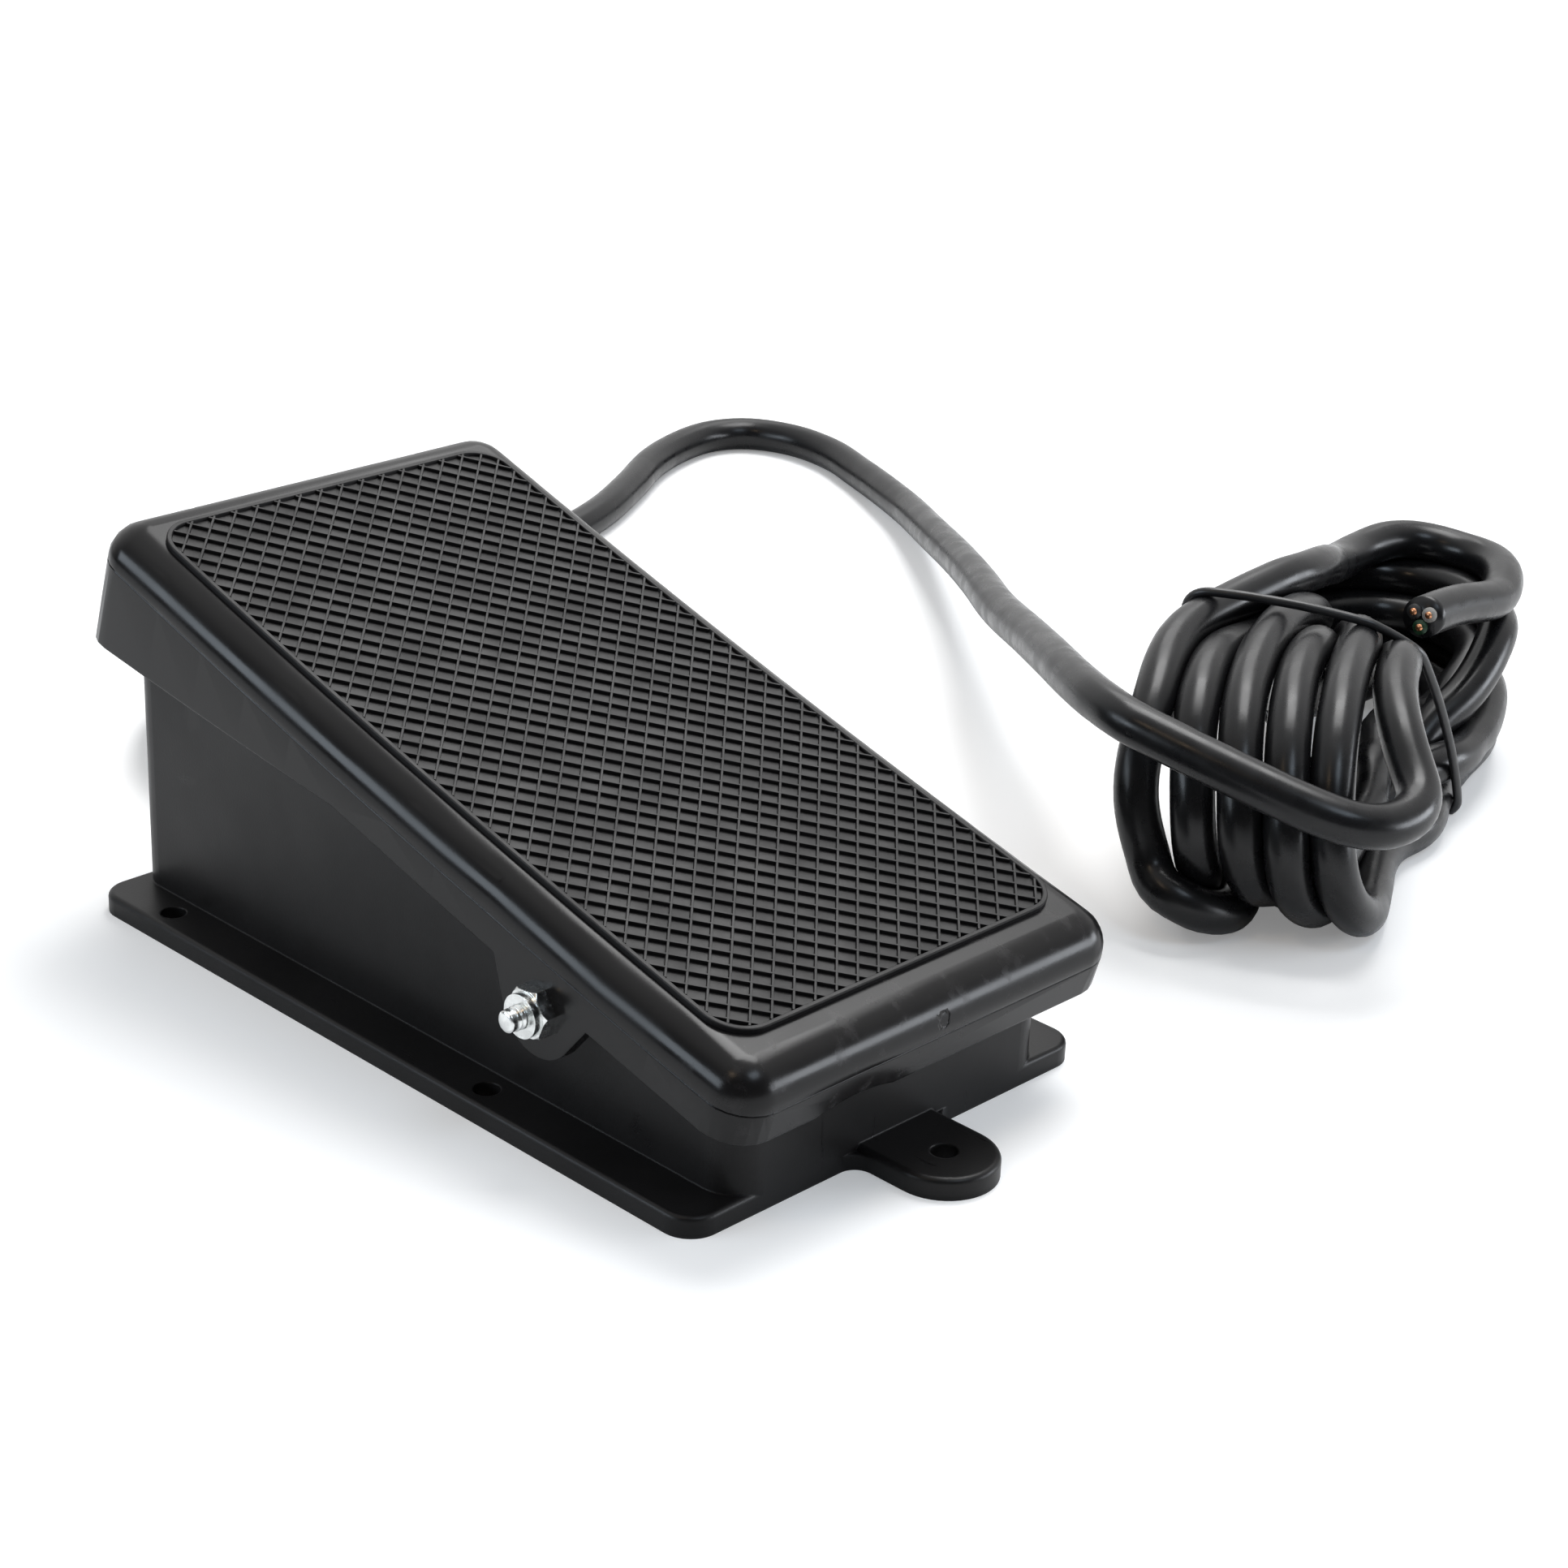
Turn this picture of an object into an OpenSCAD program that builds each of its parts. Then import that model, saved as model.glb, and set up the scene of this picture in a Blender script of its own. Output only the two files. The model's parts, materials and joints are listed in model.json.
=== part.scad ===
// Industrial foot switch: a sprung, treaded pedal over a moulded base, with one
// snap-action switch inside and a jacketed power cord tied in a hank.
// Millimetres, +Z up. The origin is the centre of the four flange holes on the
// underside. The heel end is toward -Y, the toe end toward +Y.

/* [Base] */
// Length of the base, heel face to toe face
base_len = 188; // [184:1:192]
// Width of the base above its flanges
base_w = 88; // [84:1:90]
// Height of the base at the heel
heel_h = 34.5; // [34:0.5:35]
// Height of the base at the toe
toe_h = 66; // [65:0.5:67]
// Thickness of the moulded walls
wall = 3; // [2.5:0.25:3.5]
// Radius of the upright corners
corner_r = 8; // [6:1:10]

/* [Flanges] */
// Width over both side flanges
flange_w = 110; // [108:1:114]
// Thickness of the flanges
flange_t = 4.5; // [4:0.25:5]
// Radius of the flange corners in plan
flange_corner_r = 6.5; // [5:0.5:8]
// Rounding of the flange's upper edge
flange_edge_r = 1.2; // [0.8:0.2:1.6]
// Distance between hole centres across the base
hole_pitch_x = 99; // [98:0.5:100]
// Distance between hole centres along the base
hole_pitch_y = 104; // [96:1:112]
// Distance from the heel face to the hole pattern's centre
heel_to_origin = 115; // [112:1:118]
// Diameter of the flange holes
hole_d = 5.5; // [5:0.1:6]
// Width of the heel tab
tab_w = 22; // [20:1:26]
// Reach of the heel tab beyond the heel face
tab_reach = 23.6; // [20:0.2:28]

/* [Pedal] */
// Width of the pedal
pedal_w = 106; // [104:1:108]
// Distance from the pivot to the pedal's heel end
pedal_heel = 53; // [50:1:56]
// Distance from the pivot to the pedal's toe end
pedal_toe = 151; // [150:1:154]
// Height of the pedal's top over the pivot
pedal_top = 20.4; // [20:0.2:21]
// Sag of the pedal's top between its ends
pedal_sag = 2; // [1:0.25:2.5]
// Radius of the rolled edge
roll_r = 8; // [7:0.5:8.5]
// Radius of the pedal's corners in plan
pedal_corner_r = 9; // [9:0.5:12]
// Depth of the skirt below the top
skirt_depth = 15; // [14:0.5:16]
// Depth of the skirt below the top at the toe
toe_skirt_depth = 29.1; // [26:0.5:31]
// Distance from the pivot to where the skirt starts to deepen
skirt_kink = 65; // [60:1:70]
// Thickness of the pedal's walls
shell_t = 3; // [2.5:0.25:3]
// Tilt of the pedal at rest
tilt = 15.7; // [15.5:0.1:16]

/* [Tread] */
// Width of the tread pad
pad_w = 91.5; // [86:0.5:92]
// Heel end of the tread pad, from the pivot
pad_heel = 41; // [38:1:42]
// Toe end of the tread pad, from the pivot
pad_toe = 141.5; // [138:0.5:142]
// Corner radius of the tread pad
pad_corner_r = 8.5; // [6:0.5:10]
// Height of the tread pad over the pedal
pad_t = 1.1; // [0.8:0.1:1.6]

/* [Pivot] */
// Distance from the heel face to the pivot
pivot_from_heel = 44.4; // [43:0.2:46]
// Height of the pivot
pivot_h = 30.5; // [30:0.25:31]
// Diameter of the pivot screw
screw_d = 4.83; // [4.6:0.01:5]
// Outside diameter of the pivot sleeve
sleeve_d = 8; // [7.5:0.1:8.5]
// Radius of the ears round the pivot
ear_r = 10.1; // [9.5:0.1:11]
// Size of the lock nut across its flats
nut_af = 9.53; // [9:0.01:10]
// Thickness of the lock nut's hexagon
nut_hex_t = 2.8; // [2.4:0.1:3.4]
// Length of the lock nut's round collar
nut_collar_t = 1.6; // [1.2:0.1:2]
// Distance from the ear to the screw's tip
screw_tip = 8; // [6:0.5:10]

/* [Switch] */
// Length of the snap-action switch
switch_len = 49.2; // [48:0.2:50]
// Thickness of the snap-action switch
switch_t = 17.45; // [16.5:0.05:18]
// Height of the switch's case
switch_h = 24.2; // [23:0.2:24.4]
// Distance between the switch's mounting holes
switch_pitch = 25.4; // [25:0.1:26]
// Distance from the heel face to the lever's pin
lever_from_heel = 70; // [69:0.5:71]
// Height of the lever's pin
lever_h = 39; // [38.8:0.1:39.2]
// Length of the lever from its pin to the pedal's post
lever_reach = 35; // [34:0.5:36]
// Rise of the lever over that length
lever_rise = 7; // [6.5:0.1:7]

/* [Spring] */
// Distance from the heel face to the return spring's axis
spring_from_heel = 150; // [148:1:152]
// Outside diameter of the return spring
spring_d = 14; // [13:0.5:15]
// Diameter of the spring's wire
spring_wire_d = 1.4; // [1.2:0.1:1.6]
// Number of turns in the spring
spring_turns = 6; // [5:1:7]

/* [Cord] */
// Diameter of the cord's jacket
cord_d = 10; // [9:0.5:10]
// Height of the cord's exit from the toe wall
cord_exit_h = 18; // [17:0.5:20]
// Length of the strain relief outside the wall
boot_len = 32; // [26:1:38]
// Length of the hank
hank_len = 184; // [176:2:190]
// Width of the hank
hank_w = 70; // [64:1:76]
// Height of the hank
hank_h = 60; // [58:1:64]

/* [Hidden] */
$fn = 48;
// Clearance between pieces of different bodies, and between seated pieces
gap = 0.3;
// Radial clearance of a turning fit
running_gap = 0.05;
eps = 0.02;

// ---- Base, derived ----
heel_y = -heel_to_origin;
toe_y = heel_y + base_len;
mid_y = (heel_y + toe_y) / 2;
base_slope = atan((toe_h - heel_h) / base_len);
inner_w = base_w - 2 * wall;
roof_drop = wall / cos(base_slope);
tab_end_r = tab_w / 2;
tab_hole_y = heel_y - tab_reach + tab_end_r;
tab_fillet_r = 4;
roof_rib_places = [20, 58, 127, 172];
roof_rib_h = 4;

// ---- Pivot and pedal, derived ----
pivot_y = heel_y + pivot_from_heel;
pivot_to_roof = (roof_z(pivot_y) - pivot_h) * cos(base_slope);
pedal_mid = (pedal_toe - pedal_heel) / 2;
pedal_half = (pedal_toe + pedal_heel) / 2;
ear_in = pedal_w / 2 - shell_t;
ear_out = pedal_w / 2;
ear_root_toe = 15.2;
ear_root_heel = -13.5;
ear_root_v = pedal_top - skirt_depth;
screw_bore_d = screw_d + 0.27;
sleeve_bore_d = sleeve_d + 2 * running_gap;
pivot_boss_d = 14;
pivot_boss_inner = 7;
nut_turn = 24;
groove_w = 0.4;
toe_flare = 0.5;
pedal_stations = concat(
    [for (i = [0:7]) lerp(pedal_corner_r - pedal_heel, skirt_kink, i / 7)],
    [for (i = [1:5]) lerp(skirt_kink, pedal_toe - pedal_corner_r, i / 5)]
);
pad_stations = [for (u = pedal_stations) if (u > pad_corner_r - pad_heel + 1 && u < pad_toe - pad_corner_r - 1) u];
sag_table = concat(
    [[-pedal_heel, sag(-pedal_heel)]],
    [for (u = pedal_stations) [u, sag(u)]],
    [[pedal_toe, sag(pedal_toe)]]
);

// Pedal ribs stop this far over the base's roof plane when the pedal is down
rib_t = 2;
rib_clear = 1.5;
rib_low = pivot_to_roof + rib_clear;
stop_low = pivot_to_roof + gap;
cross_ribs = [20, 44, 84, 130];
long_rib_x = 30;
toe_stop_u = 137;
toe_stop_x = 18;
toe_stop_d = 8;
heel_stop_x = 30;
heel_stop_y = heel_y + 8;
heel_stop_d = 7;

// ---- Switch, derived ----
switch_y = heel_y + lever_from_heel - 4;
switch_z = 11;
switch_top = switch_z + switch_h;
switch_cap_h = 7;
switch_mid_y = switch_y + switch_len / 2;
switch_hole_z = switch_z + 7;
switch_hole_d = 4.2;
lever_y = heel_y + lever_from_heel;
lever_angle = atan(lever_rise / lever_reach);
lever_w = 6;
lever_t = 0.8;
lever_pin_d = 2;
lever_tail = 4;
plunger_y = lever_y + 11;
plunger_d = 3;
plunger_bore_d = plunger_d + 2 * running_gap;
plunger_top = lever_h + (plunger_y - plunger_d / 2 - lever_y) * tan(lever_angle) - 1;
terminal_z = [14, 20, 26];
terminal_w = 6.3;
terminal_t = 0.8;
terminal_len = 9;
shroud_len = 14;
shroud_w = 8;
shroud_t = 4;
pillar_t = 5;

// ---- Post that presses the lever ----
post_y = lever_y + lever_reach;
post_z = lever_h + lever_rise;
post_u = (post_y - pivot_y) * cos(tilt) + (post_z - pivot_h) * sin(tilt);
post_v = (post_z - pivot_h) * cos(tilt) - (post_y - pivot_y) * sin(tilt);
post_tip_r = 2.5;
post_w = 10;
slot_w = 16;
slot_len = 20;

// ---- Spring, derived ----
spring_y = heel_y + spring_from_heel;
cup_bore_d = spring_d + 4;
cup_d = cup_bore_d + 2 * wall;
spring_low = 48;
spring_high = 75.5;
spring_seat_d = 16;
spring_stud_d = 7;
spring_stud_h = 2.5;

// ---- Bottom cover, derived ----
cover_t = 2;
cover_z = 0.5;
cover_gap = 0.4;
cover_screw_x = inner_w / 2 - 6;
cover_screw_ys = [heel_y + wall + 7, toe_y - wall - 7];
cover_boss_d = 9;
cover_screw_d = 3;
cover_head_d = 5.6;
cover_screw_len = 14;

// ---- Cord, derived ----
boot_d = 17;
boot_tip_d = cord_d + 3;
boot_bore_d = cord_d;
boot_neck_d = 14;
boot_hole_d = boot_neck_d + 0.2;
boot_inner_len = 5;
cord_inner_y = toe_y - wall - boot_inner_len - 14;
wire_d = 2.6;
cord_route = [
    [0, 120, 17], [4, 134, 14], [14, 152, 10], [32, 168, 7], [56, 177, 5],
    [82, 180, 5], [108, 181, 5], [134, 181, 5], [158, 181, 5], [180, 184, 5],
    [202, 192, 5], [224, 204, 5], [244, 216, 5], [262, 223, 5], [278, 225, 5],
    [290, 219, 5], [296, 205, 5], [295, 188, 5], [289, 171, 5], [280, 152, 6],
    [267, 129, 8], [249, 104, 12], [226, 74, 18], [203, 46, 24], [179, 18, 30],
    [156, -11, 37], [137, -34, 43], [120, -55, 48], [108, -73, 51], [105, -88, 50], [112, -98, 46]
];
hank_x = 195;
hank_y = -78;
hank_turn = 26;
hank_waist = 4;
hank_waist_r = 150;
tie_s = -4;
tie_lean = 0.6;
tie_r = 6;
tie_d = 2.2;
tie_tail = 6;
tie_half_h = hank_h / 2 - waist_depth(tie_lean * hank_h / 2) + tie_d / 2;

// ---- Shared functions ----
function lerp(a, b, t) = a + (b - a) * t;
function roof_z(y) = heel_h + (y - heel_y) * tan(base_slope);
function unit(v) = v / norm(v);

// Depth of the hank's waist at a distance along it from the tie
function waist_depth(s) = hank_waist - pow(s, 2) / (2 * hank_waist_r);

// Drop of the pedal's top at distance u from the pivot: a parabola through both ends
function sag(u) = pedal_sag * (1 - pow((u - pedal_mid) / pedal_half, 2));
function top_v(u) = pedal_top - lookup(u, sag_table);
function skirt_v(u) = top_v(u) - lerp(
    skirt_depth,
    toe_skirt_depth,
    max(0, (u - skirt_kink) / (pedal_toe - skirt_kink))
);

// Right half of a rounded rectangle in plan, from the heel to the toe
function right_side(half_w, u0, u1, r, inset, stations, arc) = concat(
    [for (i = [0:arc]) let (a = 90 * i / arc)
        [half_w - r + (r - inset) * sin(a), u0 + r - (r - inset) * cos(a)]],
    [for (u = stations) if (u > u0 + r + 0.01 && u < u1 - r - 0.01) [half_w - inset, u]],
    [for (i = [0:arc]) let (a = 90 * i / arc)
        [half_w - r + (r - inset) * cos(a), u1 - r + (r - inset) * sin(a)]]
);
function reversed(list) = [for (i = [len(list) - 1:-1:0]) list[i]];

// Closed ring: the right side and its mirror image
function full_ring(side) = concat(side, [for (p = reversed(side)) [-p[0], p[1], p[2]]]);

// Faces of a stack of equal rings, closed by strips across both ends
function stack_faces(levels, n) = concat(
    [for (k = [0:levels - 2]) for (i = [0:n - 1]) let (j = (i + 1) % n)
        [k * n + i, (k + 1) * n + i, (k + 1) * n + j]],
    [for (k = [0:levels - 2]) for (i = [0:n - 1]) let (j = (i + 1) % n)
        [k * n + i, (k + 1) * n + j, k * n + j]],
    [for (i = [0:n / 2 - 2]) [i, i + 1, n - 2 - i, n - 1 - i]],
    [for (i = [0:n / 2 - 2]) let (b = (levels - 1) * n)
        [b + i, b + n - 1 - i, b + n - 2 - i, b + i + 1]]
);

// Tangent point on a circle at the origin, seen from p, on the side given by sign
function tangent_point(p, r, sign) = let (
    reach = norm(p),
    a = atan2(p[1], p[0]) + sign * acos(r / reach)
) [r * cos(a), r * sin(a)];

// ---- Shared shapes ----
module rounded_outline(w, l, r) {
    square([w - 2 * r, l], center = true);
    square([w, l - 2 * r], center = true);
    for (x = [-1, 1])
        for (y = [-1, 1])
            translate([x * (w / 2 - r), y * (l / 2 - r)])
                circle(r);
}

// Carries the plan outline in XY to a plan centred on the base
module on_base() {
    translate([0, mid_y, 0])
        children();
}

// Extrudes a side outline in YZ to a width across X
module across(w) {
    rotate([90, 0, 90])
        linear_extrude(w, center = true)
            children();
}

// Places children in the pedal's frame: X across, Y along the pedal, Z up from it
module in_pedal_frame() {
    translate([0, pivot_y, pivot_h])
        rotate([tilt, 0, 0])
            children();
}

// Cylinder along X, centred on x = 0
module cross_cylinder(d, l) {
    rotate([0, 90, 0])
        cylinder(d = d, h = l, center = true);
}

// Tube swept along a path of points that never runs along the direction ref
module sweep(path, r, sides, ref = [0, 0, 1]) {
    n = len(path);
    rings = [for (i = [0:n - 1])
        let (
            t = unit(path[min(i + 1, n - 1)] - path[max(i - 1, 0)]),
            side = unit(cross(t, ref)),
            up = cross(side, t)
        )
        for (k = [0:sides - 1])
            path[i] + r * (cos(360 * k / sides) * side + sin(360 * k / sides) * up)];
    walls = [for (i = [0:n - 2]) for (k = [0:sides - 1]) let (m = (k + 1) % sides)
        [i * sides + k, (i + 1) * sides + k, (i + 1) * sides + m, i * sides + m]];
    ends = [
        [for (k = [0:sides - 1]) k],
        [for (k = [sides - 1:-1:0]) (n - 1) * sides + k]
    ];
    polyhedron(rings, concat(walls, ends), convexity = 6);
}

// ---- Base ----
module base_side(drop, inset) {
    polygon([
        [heel_y + inset, -1],
        [toe_y - inset, -1],
        [toe_y - inset, roof_z(toe_y - inset) - drop],
        [heel_y + inset, roof_z(heel_y + inset) - drop]
    ]);
}

module base_block() {
    intersection() {
        on_base()
            linear_extrude(toe_h + 1)
                rounded_outline(base_w, base_len, corner_r);
        across(base_w + 2)
            base_side(0, 0);
    }
}

module base_cavity() {
    intersection() {
        on_base()
            translate([0, 0, -1])
                linear_extrude(toe_h + 1)
                    rounded_outline(inner_w, base_len - 2 * wall, corner_r - wall);
        across(inner_w + 2)
            base_side(roof_drop, wall);
    }
}

// Section of a flange's edge, standing at the distance r from its corner centre
module edge_section(r) {
    square([r, flange_t - flange_edge_r]);
    square([r - flange_edge_r, flange_t]);
    intersection() {
        translate([r - flange_edge_r, flange_t - flange_edge_r])
            circle(flange_edge_r);
        translate([r - flange_edge_r, flange_t - flange_edge_r])
            square(flange_edge_r);
    }
}

// Plate with a rounded upper edge: a core, four straight edges and four corners
module flange_plate() {
    x = flange_w / 2 - flange_corner_r;
    y = base_len / 2 - flange_corner_r;
    on_base() {
        linear_extrude(flange_t)
            square([2 * x, 2 * y], center = true);
        for (end = [0, 180])
            rotate([0, 0, end]) {
                translate([x, y, 0])
                    rotate([90, 0, 0])
                        linear_extrude(2 * y)
                            edge_section(flange_corner_r);
                rotate([0, 0, 90])
                    translate([y, x, 0])
                        rotate([90, 0, 0])
                            linear_extrude(2 * x)
                                edge_section(flange_corner_r);
                translate([x, y, 0])
                    rotate_extrude(angle = 90)
                        edge_section(flange_corner_r);
                translate([x, -y, 0])
                    rotate([0, 0, -90])
                        rotate_extrude(angle = 90)
                            edge_section(flange_corner_r);
            }
    }
}

module heel_tab() {
    translate([0, tab_hole_y, 0])
        rotate([0, 0, 180])
            rotate_extrude(angle = 180)
                edge_section(tab_end_r);
    for (side = [0, 1])
        mirror([side, 0, 0])
            translate([0, heel_y + wall, 0])
                rotate([90, 0, 0])
                    linear_extrude(heel_y + wall - tab_hole_y)
                        edge_section(tab_end_r);
    for (side = [-1, 1])
        difference() {
            translate([side * (tab_end_r + tab_fillet_r / 2 - 0.5), heel_y - tab_fillet_r / 2 + 0.5, 0])
                linear_extrude(flange_t - flange_edge_r)
                    square([tab_fillet_r + 1, tab_fillet_r + 1], center = true);
            translate([side * (tab_end_r + tab_fillet_r), heel_y - tab_fillet_r, -1])
                cylinder(r = tab_fillet_r, h = flange_t + 2);
        }
}

module pivot_bosses() {
    for (side = [-1, 1])
        translate([side * (ear_in - gap + inner_w / 2 - pivot_boss_inner) / 2, pivot_y, pivot_h])
            cross_cylinder(pivot_boss_d, ear_in - gap - inner_w / 2 + pivot_boss_inner);
}

module cover_bosses() {
    for (x = [-1, 1])
        for (y = cover_screw_ys) {
            translate([x * cover_screw_x, y, cover_z + cover_t])
                cylinder(d = cover_boss_d, h = toe_h);
            translate([x * (cover_screw_x + 3), y, cover_z + cover_t + toe_h / 2])
                cube([8, 2, toe_h], center = true);
        }
}

// Cup that holds the return spring, open at the top
module spring_cup() {
    translate([0, spring_y, spring_low - wall])
        cylinder(d = cup_d, h = toe_h);
    for (turn = [0, 90])
        translate([0, spring_y, spring_low + toe_h / 2])
            rotate([0, 0, turn])
                cube([cup_d + 12, 2, toe_h], center = true);
}

// Upright web that the switch is screwed to
module switch_web() {
    translate([switch_t / 2, switch_y + 6, switch_z - 1])
        cube([pillar_t, switch_len - 12, toe_h]);
    for (y = [switch_y + 7, switch_y + switch_len - 9])
        translate([switch_t / 2 + pillar_t - 1, y, switch_z - 1])
            cube([inner_w / 2 - switch_t / 2 - pillar_t + 2, 2, toe_h]);
}

module roof_ribs() {
    for (from_heel = roof_rib_places)
        let (y = heel_y + from_heel)
            translate([0, y, roof_z(y) - roof_drop - roof_rib_h / 2 + 1])
                cube([inner_w + 2, rib_t, roof_rib_h + 2], center = true);
}

module heel_stops() {
    for (side = [-1, 1])
        translate([side * heel_stop_x, heel_stop_y, heel_h - wall])
            cylinder(d = heel_stop_d, h = wall + heel_stop_rise());
}

// Height of the heel stops over the roof, up to just under the pedal
function heel_stop_rise() = let (
    u = (heel_stop_y - heel_stop_d / 2 - pivot_y + top_v(0) * sin(tilt)) / cos(tilt),
    v = top_v(u) - shell_t,
    z = pivot_h + u * sin(tilt) + v * cos(tilt)
) z - heel_h - gap;

module housing() {
    color("#232427")
        difference() {
            union() {
                difference() {
                    union() {
                        base_block();
                        flange_plate();
                        heel_tab();
                    }
                    base_cavity();
                }
                intersection() {
                    base_block();
                    union() {
                        pivot_bosses();
                        cover_bosses();
                        spring_cup();
                        switch_web();
                        roof_ribs();
                    }
                }
                pivot_bosses();
                heel_stops();
            }
            for (x = [-1, 1])
                for (y = [-1, 1])
                    translate([x * hole_pitch_x / 2, y * hole_pitch_y / 2, -1])
                        cylinder(d = hole_d, h = flange_t + 2);
            translate([0, tab_hole_y, -1])
                cylinder(d = hole_d, h = flange_t + 2);
            translate([0, pivot_y, pivot_h])
                cross_cylinder(sleeve_bore_d, pedal_w);
            translate([0, spring_y, spring_low])
                cylinder(d = cup_bore_d, h = toe_h);
            translate([-slot_w / 2, post_y - slot_len * 0.4, switch_top + 6])
                cube([slot_w, slot_len, toe_h]);
            translate([0, toe_y + 1, cord_exit_h])
                rotate([90, 0, 0])
                    cylinder(d = boot_hole_d, h = wall + 2);
            for (x = [-1, 1])
                for (y = cover_screw_ys)
                    translate([x * cover_screw_x, y, 0])
                        cylinder(d = cover_screw_d, h = cover_screw_len + 2);
            for (side = [-1, 1])
                translate([switch_t / 2 + pillar_t / 2, switch_mid_y + side * switch_pitch / 2, switch_hole_z])
                    cross_cylinder(switch_hole_d - 0.7, pillar_t + 2);
        }
}

// ---- Bottom cover ----
module bottom_cover() {
    color("#2b2c2f")
        difference() {
            on_base()
                translate([0, 0, cover_z])
                    linear_extrude(cover_t)
                        rounded_outline(inner_w - 2 * cover_gap, base_len - 2 * wall - 2 * cover_gap,
                            corner_r - wall - cover_gap);
            for (x = [-1, 1])
                for (y = cover_screw_ys)
                    translate([x * cover_screw_x, y, cover_z]) {
                        translate([0, 0, -1])
                            cylinder(d = cover_screw_d + 0.4, h = cover_t + 2);
                        translate([0, 0, -eps])
                            cylinder(d1 = cover_head_d + 0.3, d2 = cover_screw_d + 0.4, h = 1.5);
                    }
        }
}

module cover_screws() {
    color("silver")
        for (x = [-1, 1])
            for (y = cover_screw_ys)
                translate([x * cover_screw_x, y, cover_z + 0.1])
                    difference() {
                        union() {
                            cylinder(d = cover_screw_d - 0.02, h = cover_screw_len);
                            cylinder(d1 = cover_head_d, d2 = cover_screw_d - 0.02, h = 1.4);
                        }
                        for (turn = [0, 90])
                            rotate([0, 0, turn])
                                cube([3, 0.7, 1.6], center = true);
                    }
}

// ---- Pedal ----

// Ring of the pedal at an inset from its outline; flare moves its toe end outward
function pedal_ring(inset, flare, heights) = full_ring([
    for (p = right_side(pedal_w / 2, -pedal_heel, pedal_toe, pedal_corner_r, inset, pedal_stations, 6))
        [p[0], p[1] + (p[1] > pedal_toe - pedal_corner_r ? flare : 0), heights(p[1])]
]);

module pedal_shell() {
    edge = function(u) skirt_v(u);
    roof = function(drop) function(u) top_v(u) - drop;
    roll = [for (a = [15:15:90]) [roll_r * (1 - cos(a)), roll_r * (1 - sin(a))]];
    inner_roll_r = roll_r - shell_t;
    inner_roll = [for (a = [90:-30:0]) [
        shell_t + inner_roll_r * (1 - cos(a)),
        shell_t + inner_roll_r * (1 - sin(a))
    ]];
    rings = concat(
        [for (s = inner_roll) pedal_ring(s[0], 0, roof(s[1]))],
        [pedal_ring(shell_t, 0, edge)],
        [pedal_ring(0, toe_flare, edge)],
        [pedal_ring(0, 0, roof(roll_r + groove_w))],
        [pedal_ring(groove_w, 0, roof(roll_r + groove_w))],
        [pedal_ring(groove_w, 0, roof(roll_r))],
        [pedal_ring(0, 0, roof(roll_r))],
        [for (s = roll) pedal_ring(s[0], 0, roof(s[1]))]
    );
    polyhedron(
        [for (ring = rings) for (p = ring) p],
        stack_faces(len(rings), len(rings[0])),
        convexity = 8
    );
}

// Ear in the pedal's side view: straight flanks that run out of the skirt into the round end
module ear_outline() {
    toe_root = [ear_root_toe, ear_root_v];
    heel_root = [ear_root_heel, ear_root_v];
    circle(ear_r);
    polygon([
        [0, 0],
        tangent_point(heel_root, ear_r, 1),
        heel_root,
        heel_root + [0, 4],
        toe_root + [0, 4],
        toe_root,
        tangent_point(toe_root, ear_r, -1)
    ]);
}

module pedal_ribs() {
    for (side = [-1, 1])
        translate([side * long_rib_x, 0, 0])
            across(rib_t)
                polygon(concat(
                    [for (u = concat([0], [for (s = pedal_stations) if (s > 1 && s < pedal_toe - 10) s], [pedal_toe - 2]))
                        [u, top_v(u) - shell_t / 2]],
                    [[pedal_toe - 2, rib_low], [0, rib_low]]
                ));
    for (u = cross_ribs)
        translate([0, u, (rib_low + top_v(u) - shell_t / 2) / 2])
            cube([2 * ear_in + 1, rib_t, top_v(u) - shell_t / 2 - rib_low], center = true);
    for (side = [-1, 1])
        translate([side * toe_stop_x, toe_stop_u, stop_low])
            cylinder(d = toe_stop_d, h = top_v(toe_stop_u) - shell_t / 2 - stop_low);
}

module pedal_post() {
    tip = post_v + gap + post_tip_r;
    translate([0, post_u, tip])
        cross_cylinder(2 * post_tip_r, post_w);
    translate([0, post_u, (tip + top_v(post_u) - shell_t / 2) / 2])
        cube([post_w, 2 * post_tip_r, top_v(post_u) - shell_t / 2 - tip], center = true);
    translate([0, post_u + 4, (rib_low + top_v(post_u) - shell_t / 2) / 2])
        cube([rib_t, 14, top_v(post_u) - shell_t / 2 - rib_low], center = true);
}

// Level seat under the pedal for the spring's upper end, with a stud inside the coil
module pedal_spring_seat() {
    intersection() {
        translate([0, spring_y, spring_high])
            cylinder(d = spring_seat_d, h = 2 * roll_r);
        in_pedal_frame()
            translate([0, pedal_mid, top_v(pedal_mid) - shell_t / 2 - roll_r])
                cube([pedal_w, 2 * pedal_half, 2 * roll_r], center = true);
    }
    translate([0, spring_y, spring_high - spring_stud_h])
        cylinder(d = spring_stud_d, h = spring_stud_h + 1);
}

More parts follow.
